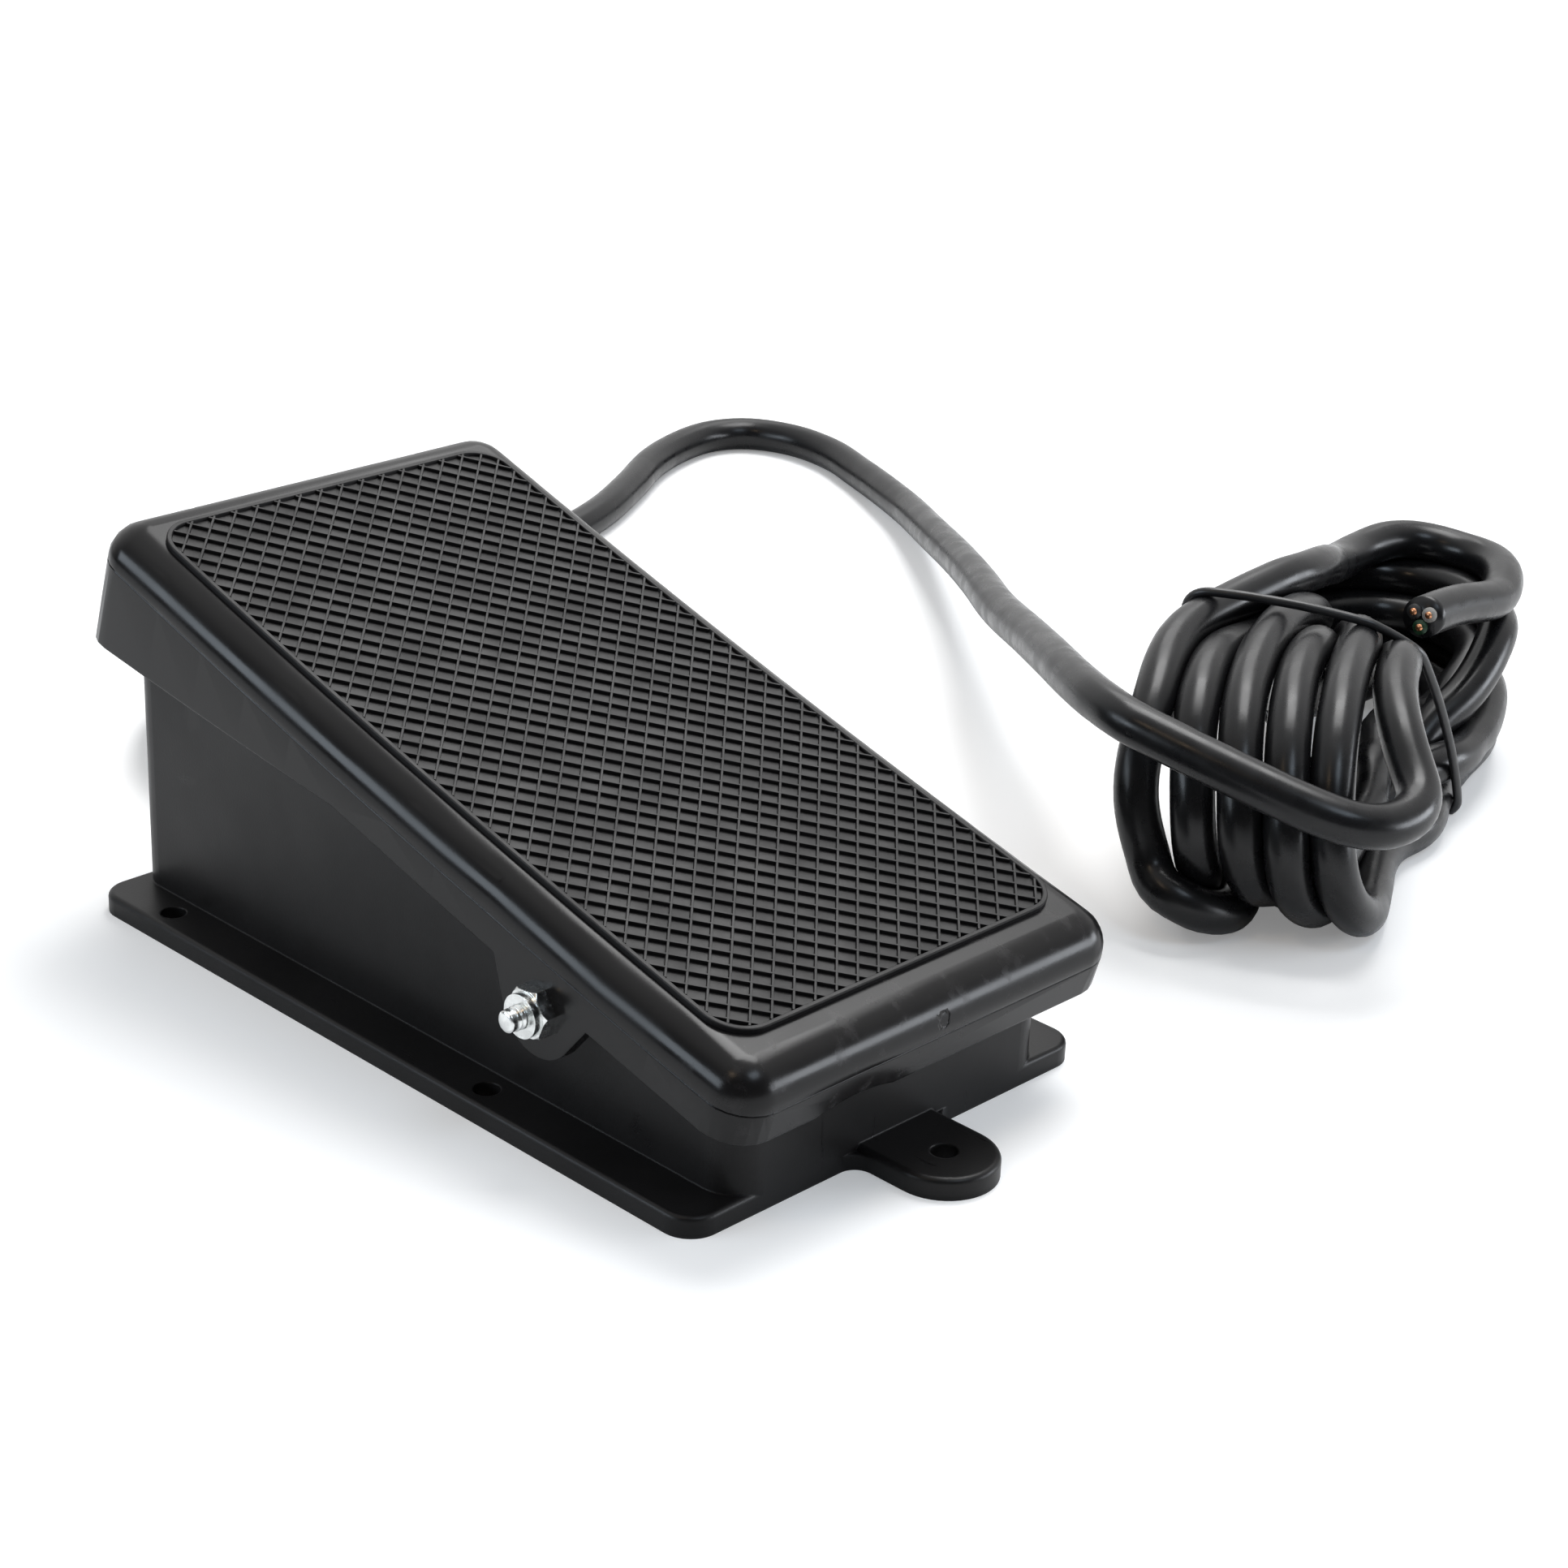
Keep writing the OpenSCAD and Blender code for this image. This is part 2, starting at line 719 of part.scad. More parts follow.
module pedal() {
    notch_w = 20.8;
    notch_rise = 1.6;
    notch_x = -21;
    notch_r = (pow(notch_w / 2, 2) + pow(notch_rise, 2)) / (2 * notch_rise);
    color("#232427")
        difference() {
            union() {
                in_pedal_frame() {
                    pedal_shell();
                    pedal_ribs();
                    pedal_post();
                    for (side = [-1, 1])
                        translate([side * (ear_in + ear_out) / 2, 0, 0])
                            across(shell_t)
                                ear_outline();
                }
                pedal_spring_seat();
            }
            in_pedal_frame() {
                cross_cylinder(screw_bore_d, pedal_w + 2);
                translate([notch_x, -pedal_heel - 1, skirt_v(-pedal_heel) + notch_rise - notch_r])
                    rotate([-90, 0, 0])
                        cylinder(r = notch_r, h = shell_t + 2, $fn = 96);
            }
        }
}

// ---- Tread pad ----
function pad_ring(height) = full_ring([
    for (p = right_side(pad_w / 2, -pad_heel, pad_toe, pad_corner_r, 0, pad_stations, 6))
        [p[0], p[1], top_v(p[1]) + height]
]);

module tread_pad() {
    rings = [pad_ring(0), pad_ring(pad_t)];
    color("#1b1b1d")
        in_pedal_frame()
            polyhedron(
                [for (ring = rings) for (p = ring) p],
                stack_faces(len(rings), len(rings[0])),
                convexity = 4
            );
}

// ---- Pivot hardware ----
module pivot_screw() {
    head_d = 9.6;
    head_t = 3.2;
    tip_chamfer = 0.7;
    length = ear_out * 2 + screw_tip;
    color("silver")
        translate([ear_out, pivot_y, pivot_h])
            rotate([0, -90, 0])
                difference() {
                    rotate_extrude()
                        polygon([
                            [0, -head_t],
                            [head_d / 2 - 1, -head_t],
                            [head_d / 2, -head_t + 1.2],
                            [head_d / 2, 0],
                            [screw_d / 2, 0],
                            [screw_d / 2, length - tip_chamfer],
                            [screw_d / 2 - tip_chamfer, length],
                            [0, length]
                        ]);
                    for (turn = [45, 135])
                        rotate([0, 0, turn])
                            translate([0, 0, -head_t])
                                cube([4.6, 1.1, 3], center = true);
                }
}

module pivot_sleeve() {
    color("silver")
        translate([0, pivot_y, pivot_h])
            difference() {
                cross_cylinder(sleeve_d, 2 * ear_in);
                cross_cylinder(screw_bore_d, 2 * ear_in + 2);
            }
}

module lock_nut() {
    color("silver")
        translate([-ear_out, pivot_y, pivot_h])
            rotate([nut_turn, 0, 0])
                rotate([0, -90, 0])
                    difference() {
                        union() {
                            intersection() {
                                cylinder(d = nut_af / cos(30), h = nut_hex_t, $fn = 6);
                                cylinder(d1 = nut_af + 5.4, d2 = nut_af + 0.4, h = nut_hex_t, $fn = 48);
                            }
                            cylinder(d = nut_af - 0.6, h = nut_hex_t + nut_collar_t);
                        }
                        translate([0, 0, -1])
                            cylinder(d = screw_d, h = nut_hex_t + nut_collar_t + 2);
                        translate([0, 0, nut_hex_t])
                            cylinder(d = nut_af - 2.2, h = nut_collar_t - 0.4);
                    }
}

module nut_insert() {
    color("white")
        translate([-ear_out - nut_hex_t, pivot_y, pivot_h])
            rotate([0, -90, 0])
                difference() {
                    cylinder(d = nut_af - 2.2, h = nut_collar_t - 0.4);
                    translate([0, 0, -1])
                        cylinder(d = screw_d, h = nut_collar_t + 2);
                }
}

// ---- Snap-action switch ----
module switch_block(z0, h) {
    translate([-switch_t / 2, switch_y, z0])
        cube([switch_t, switch_len, h]);
}

module switch_mount_holes() {
    for (side = [-1, 1])
        translate([0, switch_mid_y + side * switch_pitch / 2, switch_hole_z])
            cross_cylinder(switch_hole_d, switch_t + 2);
}

module switch_case() {
    color("#3a1d16")
        difference() {
            switch_block(switch_z, switch_h - switch_cap_h);
            switch_mount_holes();
        }
}

module switch_cover() {
    ear_t = 2;
    ear_w = 5;
    color("#57302a")
        difference() {
            union() {
                switch_block(switch_top - switch_cap_h, switch_cap_h);
                for (side = [-1, 1])
                    translate([side * (lever_w / 2 + gap + ear_t / 2) - ear_t / 2, lever_y - ear_w / 2, switch_top - 1])
                        cube([ear_t, ear_w, lever_h - switch_top + ear_w / 2]);
            }
            translate([0, plunger_y, switch_z])
                cylinder(d = plunger_bore_d, h = switch_h + 1);
            translate([0, lever_y, lever_h])
                cross_cylinder(lever_pin_d, switch_t);
        }
}

module switch_plunger() {
    stem = 4.5;
    color("#b02018")
        translate([0, plunger_y, switch_top - stem])
            rotate_extrude()
                polygon([
                    [0, 0],
                    [plunger_d / 2, 0],
                    [plunger_d / 2, plunger_top - 0.5 - switch_top + stem],
                    [plunger_d / 2 - 0.5, plunger_top - switch_top + stem],
                    [0, plunger_top - switch_top + stem]
                ]);
}

module switch_lever() {
    hub_d = lever_pin_d + 2.4;
    color("silver")
        translate([0, lever_y, lever_h])
            rotate([lever_angle, 0, 0])
                difference() {
                    union() {
                        translate([-lever_w / 2, 0, -lever_t])
                            cube([lever_w, lever_reach / cos(lever_angle) + lever_tail, lever_t]);
                        cross_cylinder(hub_d, lever_w);
                    }
                    cross_cylinder(lever_pin_d + 2 * running_gap, lever_w + 2);
                }
}

module lever_pin() {
    color("silver")
        translate([0, lever_y, lever_h])
            cross_cylinder(lever_pin_d, lever_w + 2 * gap + 5);
}

module switch_terminals() {
    color("goldenrod")
        for (z = terminal_z)
            translate([-terminal_w / 2, switch_y + switch_len, z - terminal_t / 2])
                cube([terminal_w, terminal_len, terminal_t]);
}

module wire_shrouds() {
    color("#b9b4a6")
        for (z = terminal_z)
            translate([0, switch_y + switch_len + 1, z])
                difference() {
                    translate([-shroud_w / 2, 0, -shroud_t / 2])
                        cube([shroud_w, shroud_len, shroud_t]);
                    translate([-terminal_w / 2, -1, -terminal_t / 2])
                        cube([terminal_w, terminal_len, terminal_t]);
                }
}

module switch_screws() {
    color("silver")
        for (side = [-1, 1])
            translate([-switch_t / 2, switch_mid_y + side * switch_pitch / 2, switch_hole_z])
                rotate([0, 90, 0])
                    difference() {
                        rotate_extrude()
                            polygon([
                                [0, -2.4],
                                [3, -2.4],
                                [3.5, -1.6],
                                [3.5, 0],
                                [(switch_hole_d - 0.7) / 2, 0],
                                [(switch_hole_d - 0.7) / 2, switch_t + pillar_t - 0.5],
                                [0, switch_t + pillar_t - 0.5]
                            ]);
                        translate([0, 0, -2.4])
                            cube([8, 0.9, 1.8], center = true);
                    }
}

// ---- Return spring ----
module return_spring() {
    mean_r = (spring_d - spring_wire_d) / 2;
    wire_r = spring_wire_d / 2;
    steps = 14;
    rise = spring_high - spring_low - 2 * wire_r;
    path = [for (i = [0:spring_turns * steps]) let (a = 360 * i / steps)
        [mean_r * cos(a), spring_y + mean_r * sin(a), spring_low + wire_r + rise * i / (spring_turns * steps)]];
    color("silver")
        sweep(path, wire_r, 6);
}

// ---- Cord ----
module strain_relief() {
    color("#18181a")
        translate([0, toe_y, cord_exit_h])
            rotate([-90, 0, 0])
                difference() {
                    rotate_extrude()
                        polygon([
                            [0, -wall - boot_inner_len],
                            [boot_d / 2 - 1, -wall - boot_inner_len],
                            [boot_d / 2, -wall - boot_inner_len + 1],
                            [boot_d / 2, -wall],
                            [boot_neck_d / 2, -wall],
                            [boot_neck_d / 2, 0],
                            [boot_d / 2, 0],
                            [boot_d / 2, 4],
                            [boot_tip_d / 2, boot_len],
                            [0, boot_len]
                        ]);
                    translate([0, 0, -20])
                        cylinder(d = boot_bore_d, h = boot_len + 40);
                    for (z = [8:6:boot_len - 6])
                        translate([0, 0, z])
                            rotate_extrude()
                                translate([boot_bore_d / 2 + 0.9, 0])
                                    square([boot_d, 2]);
                }
}

module power_cord() {
    straight = [for (y = [cord_inner_y, toe_y + boot_len / 2, toe_y + boot_len]) [0, y, cord_exit_h]];
    color("#101012")
        sweep(concat(straight, cord_route), cord_d / 2, 10);
}

// Hank of standing loops: a long outline with round ends, squeezed where it is tied
module cord_bundle() {
    r = hank_h / 2;
    color("#101012")
        translate([hank_x, hank_y, r])
            rotate([0, 0, hank_turn])
                rotate([90, 0, 0])
                    linear_extrude(hank_w, center = true)
                        difference() {
                            union() {
                                square([hank_len - 2 * r, 2 * r], center = true);
                                for (side = [-1, 1])
                                    translate([side * (hank_len / 2 - r), 0])
                                        circle(r, $fn = 96);
                            }
                            for (side = [-1, 1])
                                translate([tie_s, side * (r - hank_waist + hank_waist_r)])
                                    circle(hank_waist_r, $fn = 240);
                        }
}

// Wire tie: one leaning turn round the hank, whose two ends stand out as tails
module cord_tie() {
    half_w = hank_w / 2 + tie_d / 2;
    corners = [[1, 1, 0], [-1, 1, 90], [-1, -1, 180], [1, -1, 270]];
    loop = [for (c = corners) for (a = [0:30:90])
        [0, c[0] * (half_w - tie_r) + tie_r * cos(a + c[2]), c[1] * (tie_half_h - tie_r) + tie_r * sin(a + c[2])]];
    path = concat(
        [loop[0] + [0, tie_tail, -tie_tail]],
        loop,
        [loop[0], loop[0] + [0, tie_tail, tie_tail]]
    );
    pitch = 1.5 * tie_d / len(path);
    color("#101012")
        translate([hank_x, hank_y, hank_h / 2])
            rotate([0, 0, hank_turn])
                sweep(
                    [for (i = [0:len(path) - 1]) path[i] + [tie_s - tie_lean * path[i][2] + pitch * i, 0, 0]],
                    tie_d / 2,
                    6,
                    [1, 0, 0]
                );
}

// Three conductors from the jacket's end to the switch
module wires() {
    start_y = switch_y + switch_len + 1 + shroud_len;
    color("#e8e4da")
        for (i = [0:2])
            let (x = (i - 1) * 3, z = terminal_z[i])
                sweep([
                    [0, start_y, z],
                    [0, start_y + 6, z],
                    [x * 2, start_y + 14, lerp(z, cord_exit_h, 0.4)],
                    [x * 2, start_y + 22, lerp(z, cord_exit_h, 0.8)],
                    [x, cord_inner_y - 5, cord_exit_h],
                    [x, cord_inner_y, cord_exit_h]
                ], wire_d / 2, 8);
}

housing();
bottom_cover();
cover_screws();
pedal();
tread_pad();
pivot_screw();
pivot_sleeve();
lock_nut();
nut_insert();
switch_case();
switch_cover();
switch_plunger();
switch_lever();
lever_pin();
switch_terminals();
wire_shrouds();
switch_screws();
return_spring();
strain_relief();
wires();
power_cord();
cord_bundle();
cord_tie();
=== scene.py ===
"""Looks of the industrial foot switch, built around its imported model.

Millimetres stand in the tables of sizes, metres in the meshes. +Z is up, the heel end is
toward -Y, and the pedal's own frame runs u along it, v up from it and x across it.
"""

import json

import bmesh
import bpy
import numpy as np
from mathutils import Matrix


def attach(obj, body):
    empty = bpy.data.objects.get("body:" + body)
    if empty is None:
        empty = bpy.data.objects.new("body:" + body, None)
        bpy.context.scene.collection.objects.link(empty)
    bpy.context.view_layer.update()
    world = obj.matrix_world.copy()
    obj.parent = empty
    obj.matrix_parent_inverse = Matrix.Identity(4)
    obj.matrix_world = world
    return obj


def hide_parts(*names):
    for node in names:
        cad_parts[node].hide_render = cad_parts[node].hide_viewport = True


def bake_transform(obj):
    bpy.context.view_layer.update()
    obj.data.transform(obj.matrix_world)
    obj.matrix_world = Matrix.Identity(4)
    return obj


bl_info = {
    "name": "Foot switch looks",
    "version": (1, 0, 0),
    "blender": (4, 5, 0),
    "location": "View3D > Sidebar > Foot switch",
    "description": "Cord, tread and finishes of an industrial foot switch",
    "category": "Object",
}

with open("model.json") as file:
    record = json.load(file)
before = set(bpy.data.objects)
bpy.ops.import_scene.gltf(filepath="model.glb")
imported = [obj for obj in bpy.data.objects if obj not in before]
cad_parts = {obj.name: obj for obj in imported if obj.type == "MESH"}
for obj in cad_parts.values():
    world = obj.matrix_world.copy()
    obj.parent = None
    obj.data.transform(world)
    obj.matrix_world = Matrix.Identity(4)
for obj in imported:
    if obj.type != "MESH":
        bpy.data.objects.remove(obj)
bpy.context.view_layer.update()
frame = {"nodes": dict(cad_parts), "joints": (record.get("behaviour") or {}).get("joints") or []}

MM = 0.001

# The pedal's outline and crown in its own frame, whose origin is the pivot
PIVOT = np.array(frame["joints"][0]["pos_m"])
PEDAL_TILT = np.radians(15.7)
PEDAL_TOP = 20.4
PEDAL_SAG = 2.0
PEDAL_MID = 49.0
PEDAL_HALF_LENGTH = 102.0
PEDAL_HALF_WIDTH = 53.0
PEDAL_CORNER = 9.0
PEDAL_ROLL = 8.0

# The return spring between the base's cup and the pedal
SPRING_Y = 35.0
SPRING_LOW = 48.03
SPRING_HIGH = 75.4
SPRING_D = 14.0
SPRING_WIRE = 1.4
SPRING_TURNS = 6

# The pivot screw's threaded end, along -X, in metres
THREAD_START = -0.0545
THREAD_END = -0.0610
THREAD_CREST = 0.00241
THREAD_DEPTH = 0.00036
THREAD_RUNOUT = 0.0014
THREAD_TIP = 0.0005

# Where the moulding's gate was cut off, at the middle of the heel's rolled edge
GATE_MARK = (0.0005, -0.12516, 0.03152)

# The cord's way over the floor from the strain relief to the hank
CORD_ROUTE = [
    (0, 80, 18), (0, 92, 18), (0, 105, 18),
    (1, 118, 17), (6, 132, 14), (17, 147, 10), (34, 160, 7), (56, 171, 5),
    (82, 178, 5), (108, 181, 5), (134, 181, 5), (158, 181, 5), (180, 184, 5),
    (202, 192, 5), (224, 204, 5), (244, 216, 5), (262, 223, 5), (278, 225, 5),
    (290, 219, 5), (296, 205, 5), (295, 188, 5), (289, 171, 5), (280, 152, 6),
    (267, 129, 8), (249, 104, 12), (226, 74, 18), (203, 46, 24), (179, 18, 30),
    (156, -11, 37), (137, -34, 43), (120, -55, 48), (108, -73, 51), (105, -88, 50),
]
CORD_STEP = 5.0
RING_STEP = 2.5
LEAST_BEND = 26.0

# The hank lies turned from +X. Its places are (along, across to the left, up)
HANK_CENTRE = np.array([195.0, -78.0, 0.0])
HANK_TURN = np.radians(26.0)
HANK_AXES = np.array([
    [np.cos(HANK_TURN), np.sin(HANK_TURN), 0.0],
    [-np.sin(HANK_TURN), np.cos(HANK_TURN), 0.0],
    [0.0, 0.0, 1.0],
])
HANK_START = [
    (-90, 3, 43), (-91, -12, 39), (-87, -26, 35), (-76, -31, 35),
    (-66, -25, 40), (-57, -19, 48), (-38, -14, 52), (-12, -12, 50),
]
HANK_END = [(30, -20, 49), (12, -14, 50)]
# Far folds: height, half width, reach, shift across
FAR_FOLDS = [
    (5, 29, 88, 0), (13, 21, 80, 0), (17, 30, 86, 0), (28, 27, 82, 0), (35, 30, 86, 0),
    (42, 24, 92, -6),
]
# Near folds: place across at the top, the middle and the foot, reach, reach of the foot
NEAR_FOLDS = [
    (-4, -9, -14, -78, -68), (7, 0, -6, -80, -60), (18, 10, 3, -80, -58),
    (28, 21, 12, -78, -62), (33, 35, 12, -76, -88),
]

# The tie's plane across the hank, its lean, and where its ends meet round the strands
TIE_PLACE = -4.0
TIE_MIDDLE = 30.0
TIE_LEAN = 0.6
TIE_STEP = 5.0
TIE_KNOT = 290.0

# The camera's place in metres, its bearing and drop, its roll and its lens
CAMERA_PLACE = (-0.40706, -0.47325, 0.31084)
CAMERA_BEARING = np.radians(46.09)
CAMERA_DROP = np.radians(23.49)
CAMERA_ROLL = np.radians(2.33)
CAMERA_LENS = 73.7

# Direction of the white backdrop, over and behind the switch
BACKDROP = (0.55, 0.50, 0.67)

# Each lamp: name, place, target, size, radiance, colour
LAMPS = (
    ("overhead", (0.98, 0.65, 1.15), (0.02, 0.03, 0.05), (0.75, 0.75), 2.4, (1, 1, 1)),
    ("window", (-1.22, 0.55, 0.50), (0, -0.02, 0.05), (0.95, 0.42), 6.5, (0.80, 0.90, 1.0)),
    ("low_right", (0.95, -1.0, 0.22), (0, -0.1, 0.03), (1.0, 0.35), 10.0, (0.90, 0.94, 1.0)),
    ("over_hank", (0.45, 0.10, 1.0), (0.2, -0.08, 0.04), (0.55, 0.5), 9.0, (1, 1, 1)),
    ("warm_spot", (-0.60, -0.13, 0.87), (-0.05, -0.12, 0.04), (0.16, 0.16), 6.0,
     (1.0, 0.75, 0.5)),
    ("cool_spot", (-0.03, -0.67, 0.86), (-0.05, -0.12, 0.04), (0.36, 0.28), 6.0,
     (0.75, 0.87, 1.0)),
)


# ---- Settings that a user would change ----
class CordSettings(bpy.types.PropertyGroup):
    """Sizes and colour of the power cord and its tie"""

    diameter: bpy.props.FloatProperty(
        name="Diameter", description="Diameter of the cord's jacket", default=0.010,
        min=0.006, max=0.014, unit="LENGTH")
    sides: bpy.props.IntProperty(
        name="Sides", description="Facets round the jacket", default=24, min=8, max=48)
    tie_diameter: bpy.props.FloatProperty(
        name="Tie diameter", description="Diameter of the tie's coated wire", default=0.0022,
        min=0.001, max=0.004, unit="LENGTH")
    colour: bpy.props.FloatVectorProperty(
        name="Colour", description="Colour of the jacket", subtype="COLOR", size=3,
        default=(0.0045, 0.0045, 0.0050), min=0, max=1)


class TreadSettings(bpy.types.PropertyGroup):
    """Sizes of the tread pad and its lattice of ribs"""

    width: bpy.props.FloatProperty(
        name="Width", description="Width of the tread pad", default=0.0915, unit="LENGTH")
    heel: bpy.props.FloatProperty(
        name="Heel end", description="Heel end of the pad from the pivot", default=0.041,
        unit="LENGTH")
    toe: bpy.props.FloatProperty(
        name="Toe end", description="Toe end of the pad from the pivot", default=0.1415,
        unit="LENGTH")
    corner: bpy.props.FloatProperty(
        name="Corner", description="Radius of the pad's corners", default=0.0085, unit="LENGTH")
    height: bpy.props.FloatProperty(
        name="Height", description="Height of the ribs over the pedal", default=0.0011,
        unit="LENGTH")
    floor: bpy.props.FloatProperty(
        name="Floor", description="Height of the cells' floor over the pedal", default=0.0004,
        unit="LENGTH")
    pitch: bpy.props.FloatProperty(
        name="Pitch", description="Distance between ribs", default=0.004, min=0.002,
        max=0.008, unit="LENGTH")
    rib: bpy.props.FloatProperty(
        name="Rib", description="Width of a rib at its top", default=0.0005, unit="LENGTH")
    border: bpy.props.FloatProperty(
        name="Border", description="Width of the flat border", default=0.0011, unit="LENGTH")


class FinishSettings(bpy.types.PropertyGroup):
    """Colours of the plastic and the plated steel, and the screw's thread"""

    plastic: bpy.props.FloatVectorProperty(
        name="Plastic", description="Colour of the moulded plastic", subtype="COLOR", size=3,
        default=(0.0060, 0.0056, 0.0058), min=0, max=1)
    zinc: bpy.props.FloatVectorProperty(
        name="Zinc", description="Colour of the plated steel", subtype="COLOR", size=3,
        default=(0.90, 0.92, 0.91), min=0, max=1)
    thread_pitch: bpy.props.FloatProperty(
        name="Thread pitch", description="Distance between the pivot screw's threads",
        default=0.00106, unit="LENGTH")


class StageSettings(bpy.types.PropertyGroup):
    """Brightness of the floor, the surroundings and the lamps"""

    floor: bpy.props.FloatVectorProperty(
        name="Floor", description="Colour of the floor", subtype="COLOR", size=3,
        default=(0.93, 0.93, 0.93), min=0, max=1)
    lift: bpy.props.FloatProperty(
        name="Lift", description="Brightness added to what is seen of the floor", default=0.20,
        min=0, max=1)
    sky: bpy.props.FloatProperty(
        name="Sky", description="Brightness of the surroundings", default=0.36, min=0, max=2)
    room: bpy.props.FloatProperty(
        name="Room", description="Brightness of the near side in reflections", default=0.05,
        min=0, max=1)
    lamps: bpy.props.FloatProperty(
        name="Lamps", description="Share of the lamps' power", default=1.0, min=0, max=4)


# ---- Mesh helpers ----
def add_surface(name, points, faces, body, slot, material, smooth=True):
    """Makes a mesh object from arrays of points and faces, finishes it and rides it on a body."""
    mesh = bpy.data.meshes.new(name)
    mesh.from_pydata(np.asarray(points, float).tolist(), [], [list(map(int, f)) for f in faces])
    mesh.polygons.foreach_set("use_smooth", [smooth] * len(mesh.polygons))
    mesh.update()
    piece = bpy.data.objects.new(name, mesh)
    bpy.context.scene.collection.objects.link(piece)
    mesh.materials.append(material)
    if body:
        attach(piece, body)
    return piece


def grid_faces(rows, columns, closed=True):
    """Quads between neighbouring rows of a grid of points: point (i, j) is number
    i * columns + j, and the last column may join the first."""
    i = np.arange(rows - 1)[:, None] * columns
    j = np.arange(columns if closed else columns - 1)[None]
    k = (j + 1) % columns
    return np.stack([i + j, i + k, i + columns + k, i + columns + j], -1).reshape(-1, 4)


def end_fans(rows, sides):
    """Triangles that close the first and the last of a tube's rings, each on a point of its own
    that stands after the rings."""
    k = np.arange(sides)
    m = (k + 1) % sides
    last = (rows - 1) * sides
    first_centre = np.full(sides, rows * sides)
    first = np.stack([m, k, first_centre], 1)
    second = np.stack([last + k, last + m, first_centre + 1], 1)
    return np.stack([first, second], 1).reshape(-1, 3)


def smooth_line(points, parts):
    """Curve through the points: on each span the cubic that leaves each end along the line
    between its two neighbours."""
    p = np.asarray(points, float)
    p = np.vstack([2 * p[0] - p[1], p, 2 * p[-1] - p[-2]])
    a, b, c, d = (p[k:len(p) - 3 + k, None] for k in range(4))
    t = (np.arange(parts) / parts)[None, :, None]
    curve = 0.5 * (2 * b + (c - a) * t + (2 * a - 5 * b + 4 * c - d) * t**2
                   + (3 * b - a - 3 * c + d) * t**3)
    return np.vstack([curve.reshape(-1, 3), p[-2]])


def even_line(points, step):
    """The same line with its points at even distances along it."""
    along = np.r_[0, np.cumsum(np.linalg.norm(np.diff(points, axis=0), axis=1))]
    at = np.linspace(0, along[-1], int(round(along[-1] / step)) + 1)
    return np.stack([np.interp(at, along, points[:, k]) for k in range(3)], 1)


def tube(path, radius, sides, dome=0.3):
    """Tube round a path: each ring is path + radius (cos a * side + sin a * up), where side and up
    are carried along the path without twist. Both ends close in a shallow dome."""
    path = np.asarray(path, float)
    tangent = np.gradient(path, axis=0)
    tangent /= np.linalg.norm(tangent, axis=1)[:, None]
    side = np.empty_like(path)
    start = np.cross(tangent[0], [0.0, 0.0, 1.0])
    if np.linalg.norm(start) < 0.2:
        start = np.cross(tangent[0], [0.0, 1.0, 0.0])
    side[0] = start / np.linalg.norm(start)
    for k in range(1, len(path)):
        carried = side[k - 1] - tangent[k] * (side[k - 1] @ tangent[k])
        side[k] = carried / np.linalg.norm(carried)
    up = np.cross(side, tangent)
    angle = np.linspace(0, 2 * np.pi, sides, endpoint=False)
    radius = np.broadcast_to(np.asarray(radius, float), len(path))[:, None, None]
    turn = angle[None, :, None]
    ring = np.cos(turn) * side[:, None] + np.sin(turn) * up[:, None]
    points = np.vstack([
        (path[:, None] + radius * ring).reshape(-1, 3),
        path[0] - tangent[0] * dome * radius[0, 0, 0],
        path[-1] + tangent[-1] * dome * radius[-1, 0, 0],
    ])
    return points, grid_faces(len(path), sides).tolist() + end_fans(len(path), sides).tolist()


def flip_outward(piece):
    """Turns every closed part of a piece so that its faces point outward."""
    work = bmesh.new()
    work.from_mesh(piece.data)
    bmesh.ops.recalc_face_normals(work, faces=work.faces)
    work.to_mesh(piece.data)
    work.free()


def merged_copy(node, name, material, angle):
    """Copy of a CAD node's mesh with its corners merged and its curved faces smooth."""
    mesh = frame["nodes"][node].data.copy()
    work = bmesh.new()
    work.from_mesh(mesh)
    bmesh.ops.remove_doubles(work, verts=work.verts, dist=1e-6)
    work.to_mesh(mesh)
    work.free()
    mesh.materials.clear()
    mesh.materials.append(material)
    mesh.name = name
    mesh.shade_smooth()
    mesh.set_sharp_from_angle(angle=np.radians(angle))
    piece = bpy.data.objects.new(name, mesh)
    bpy.context.scene.collection.objects.link(piece)
    weigh = piece.modifiers.new("flat_faces_first", "WEIGHTED_NORMAL")
    weigh.keep_sharp = True
    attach(piece, "pedal")
    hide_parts(node)
    return piece


def move_points(piece, rule):
    """Moves a mesh's points, in metres, by a rule that takes and gives them all at once."""
    points = np.empty(3 * len(piece.data.vertices))
    piece.data.vertices.foreach_get("co", points)
    piece.data.vertices.foreach_set("co", rule(points.reshape(-1, 3)).ravel())
    piece.data.update()


def on_pedal(x, u, v):
    """Places x across, u along and v up in the pedal's frame, millimetres, at the pedal's rest."""
    y = u * np.cos(PEDAL_TILT) - v * np.sin(PEDAL_TILT)
    z = u * np.sin(PEDAL_TILT) + v * np.cos(PEDAL_TILT)
    return PIVOT + MM * np.stack([np.broadcast_to(x, np.shape(y)), y, z], -1)


def pedal_top(u):
    """Height of the pedal's top: its crown less a parabola that is deepest midway."""
    return PEDAL_TOP - PEDAL_SAG * (1 - ((u - PEDAL_MID) / PEDAL_HALF_LENGTH) ** 2)


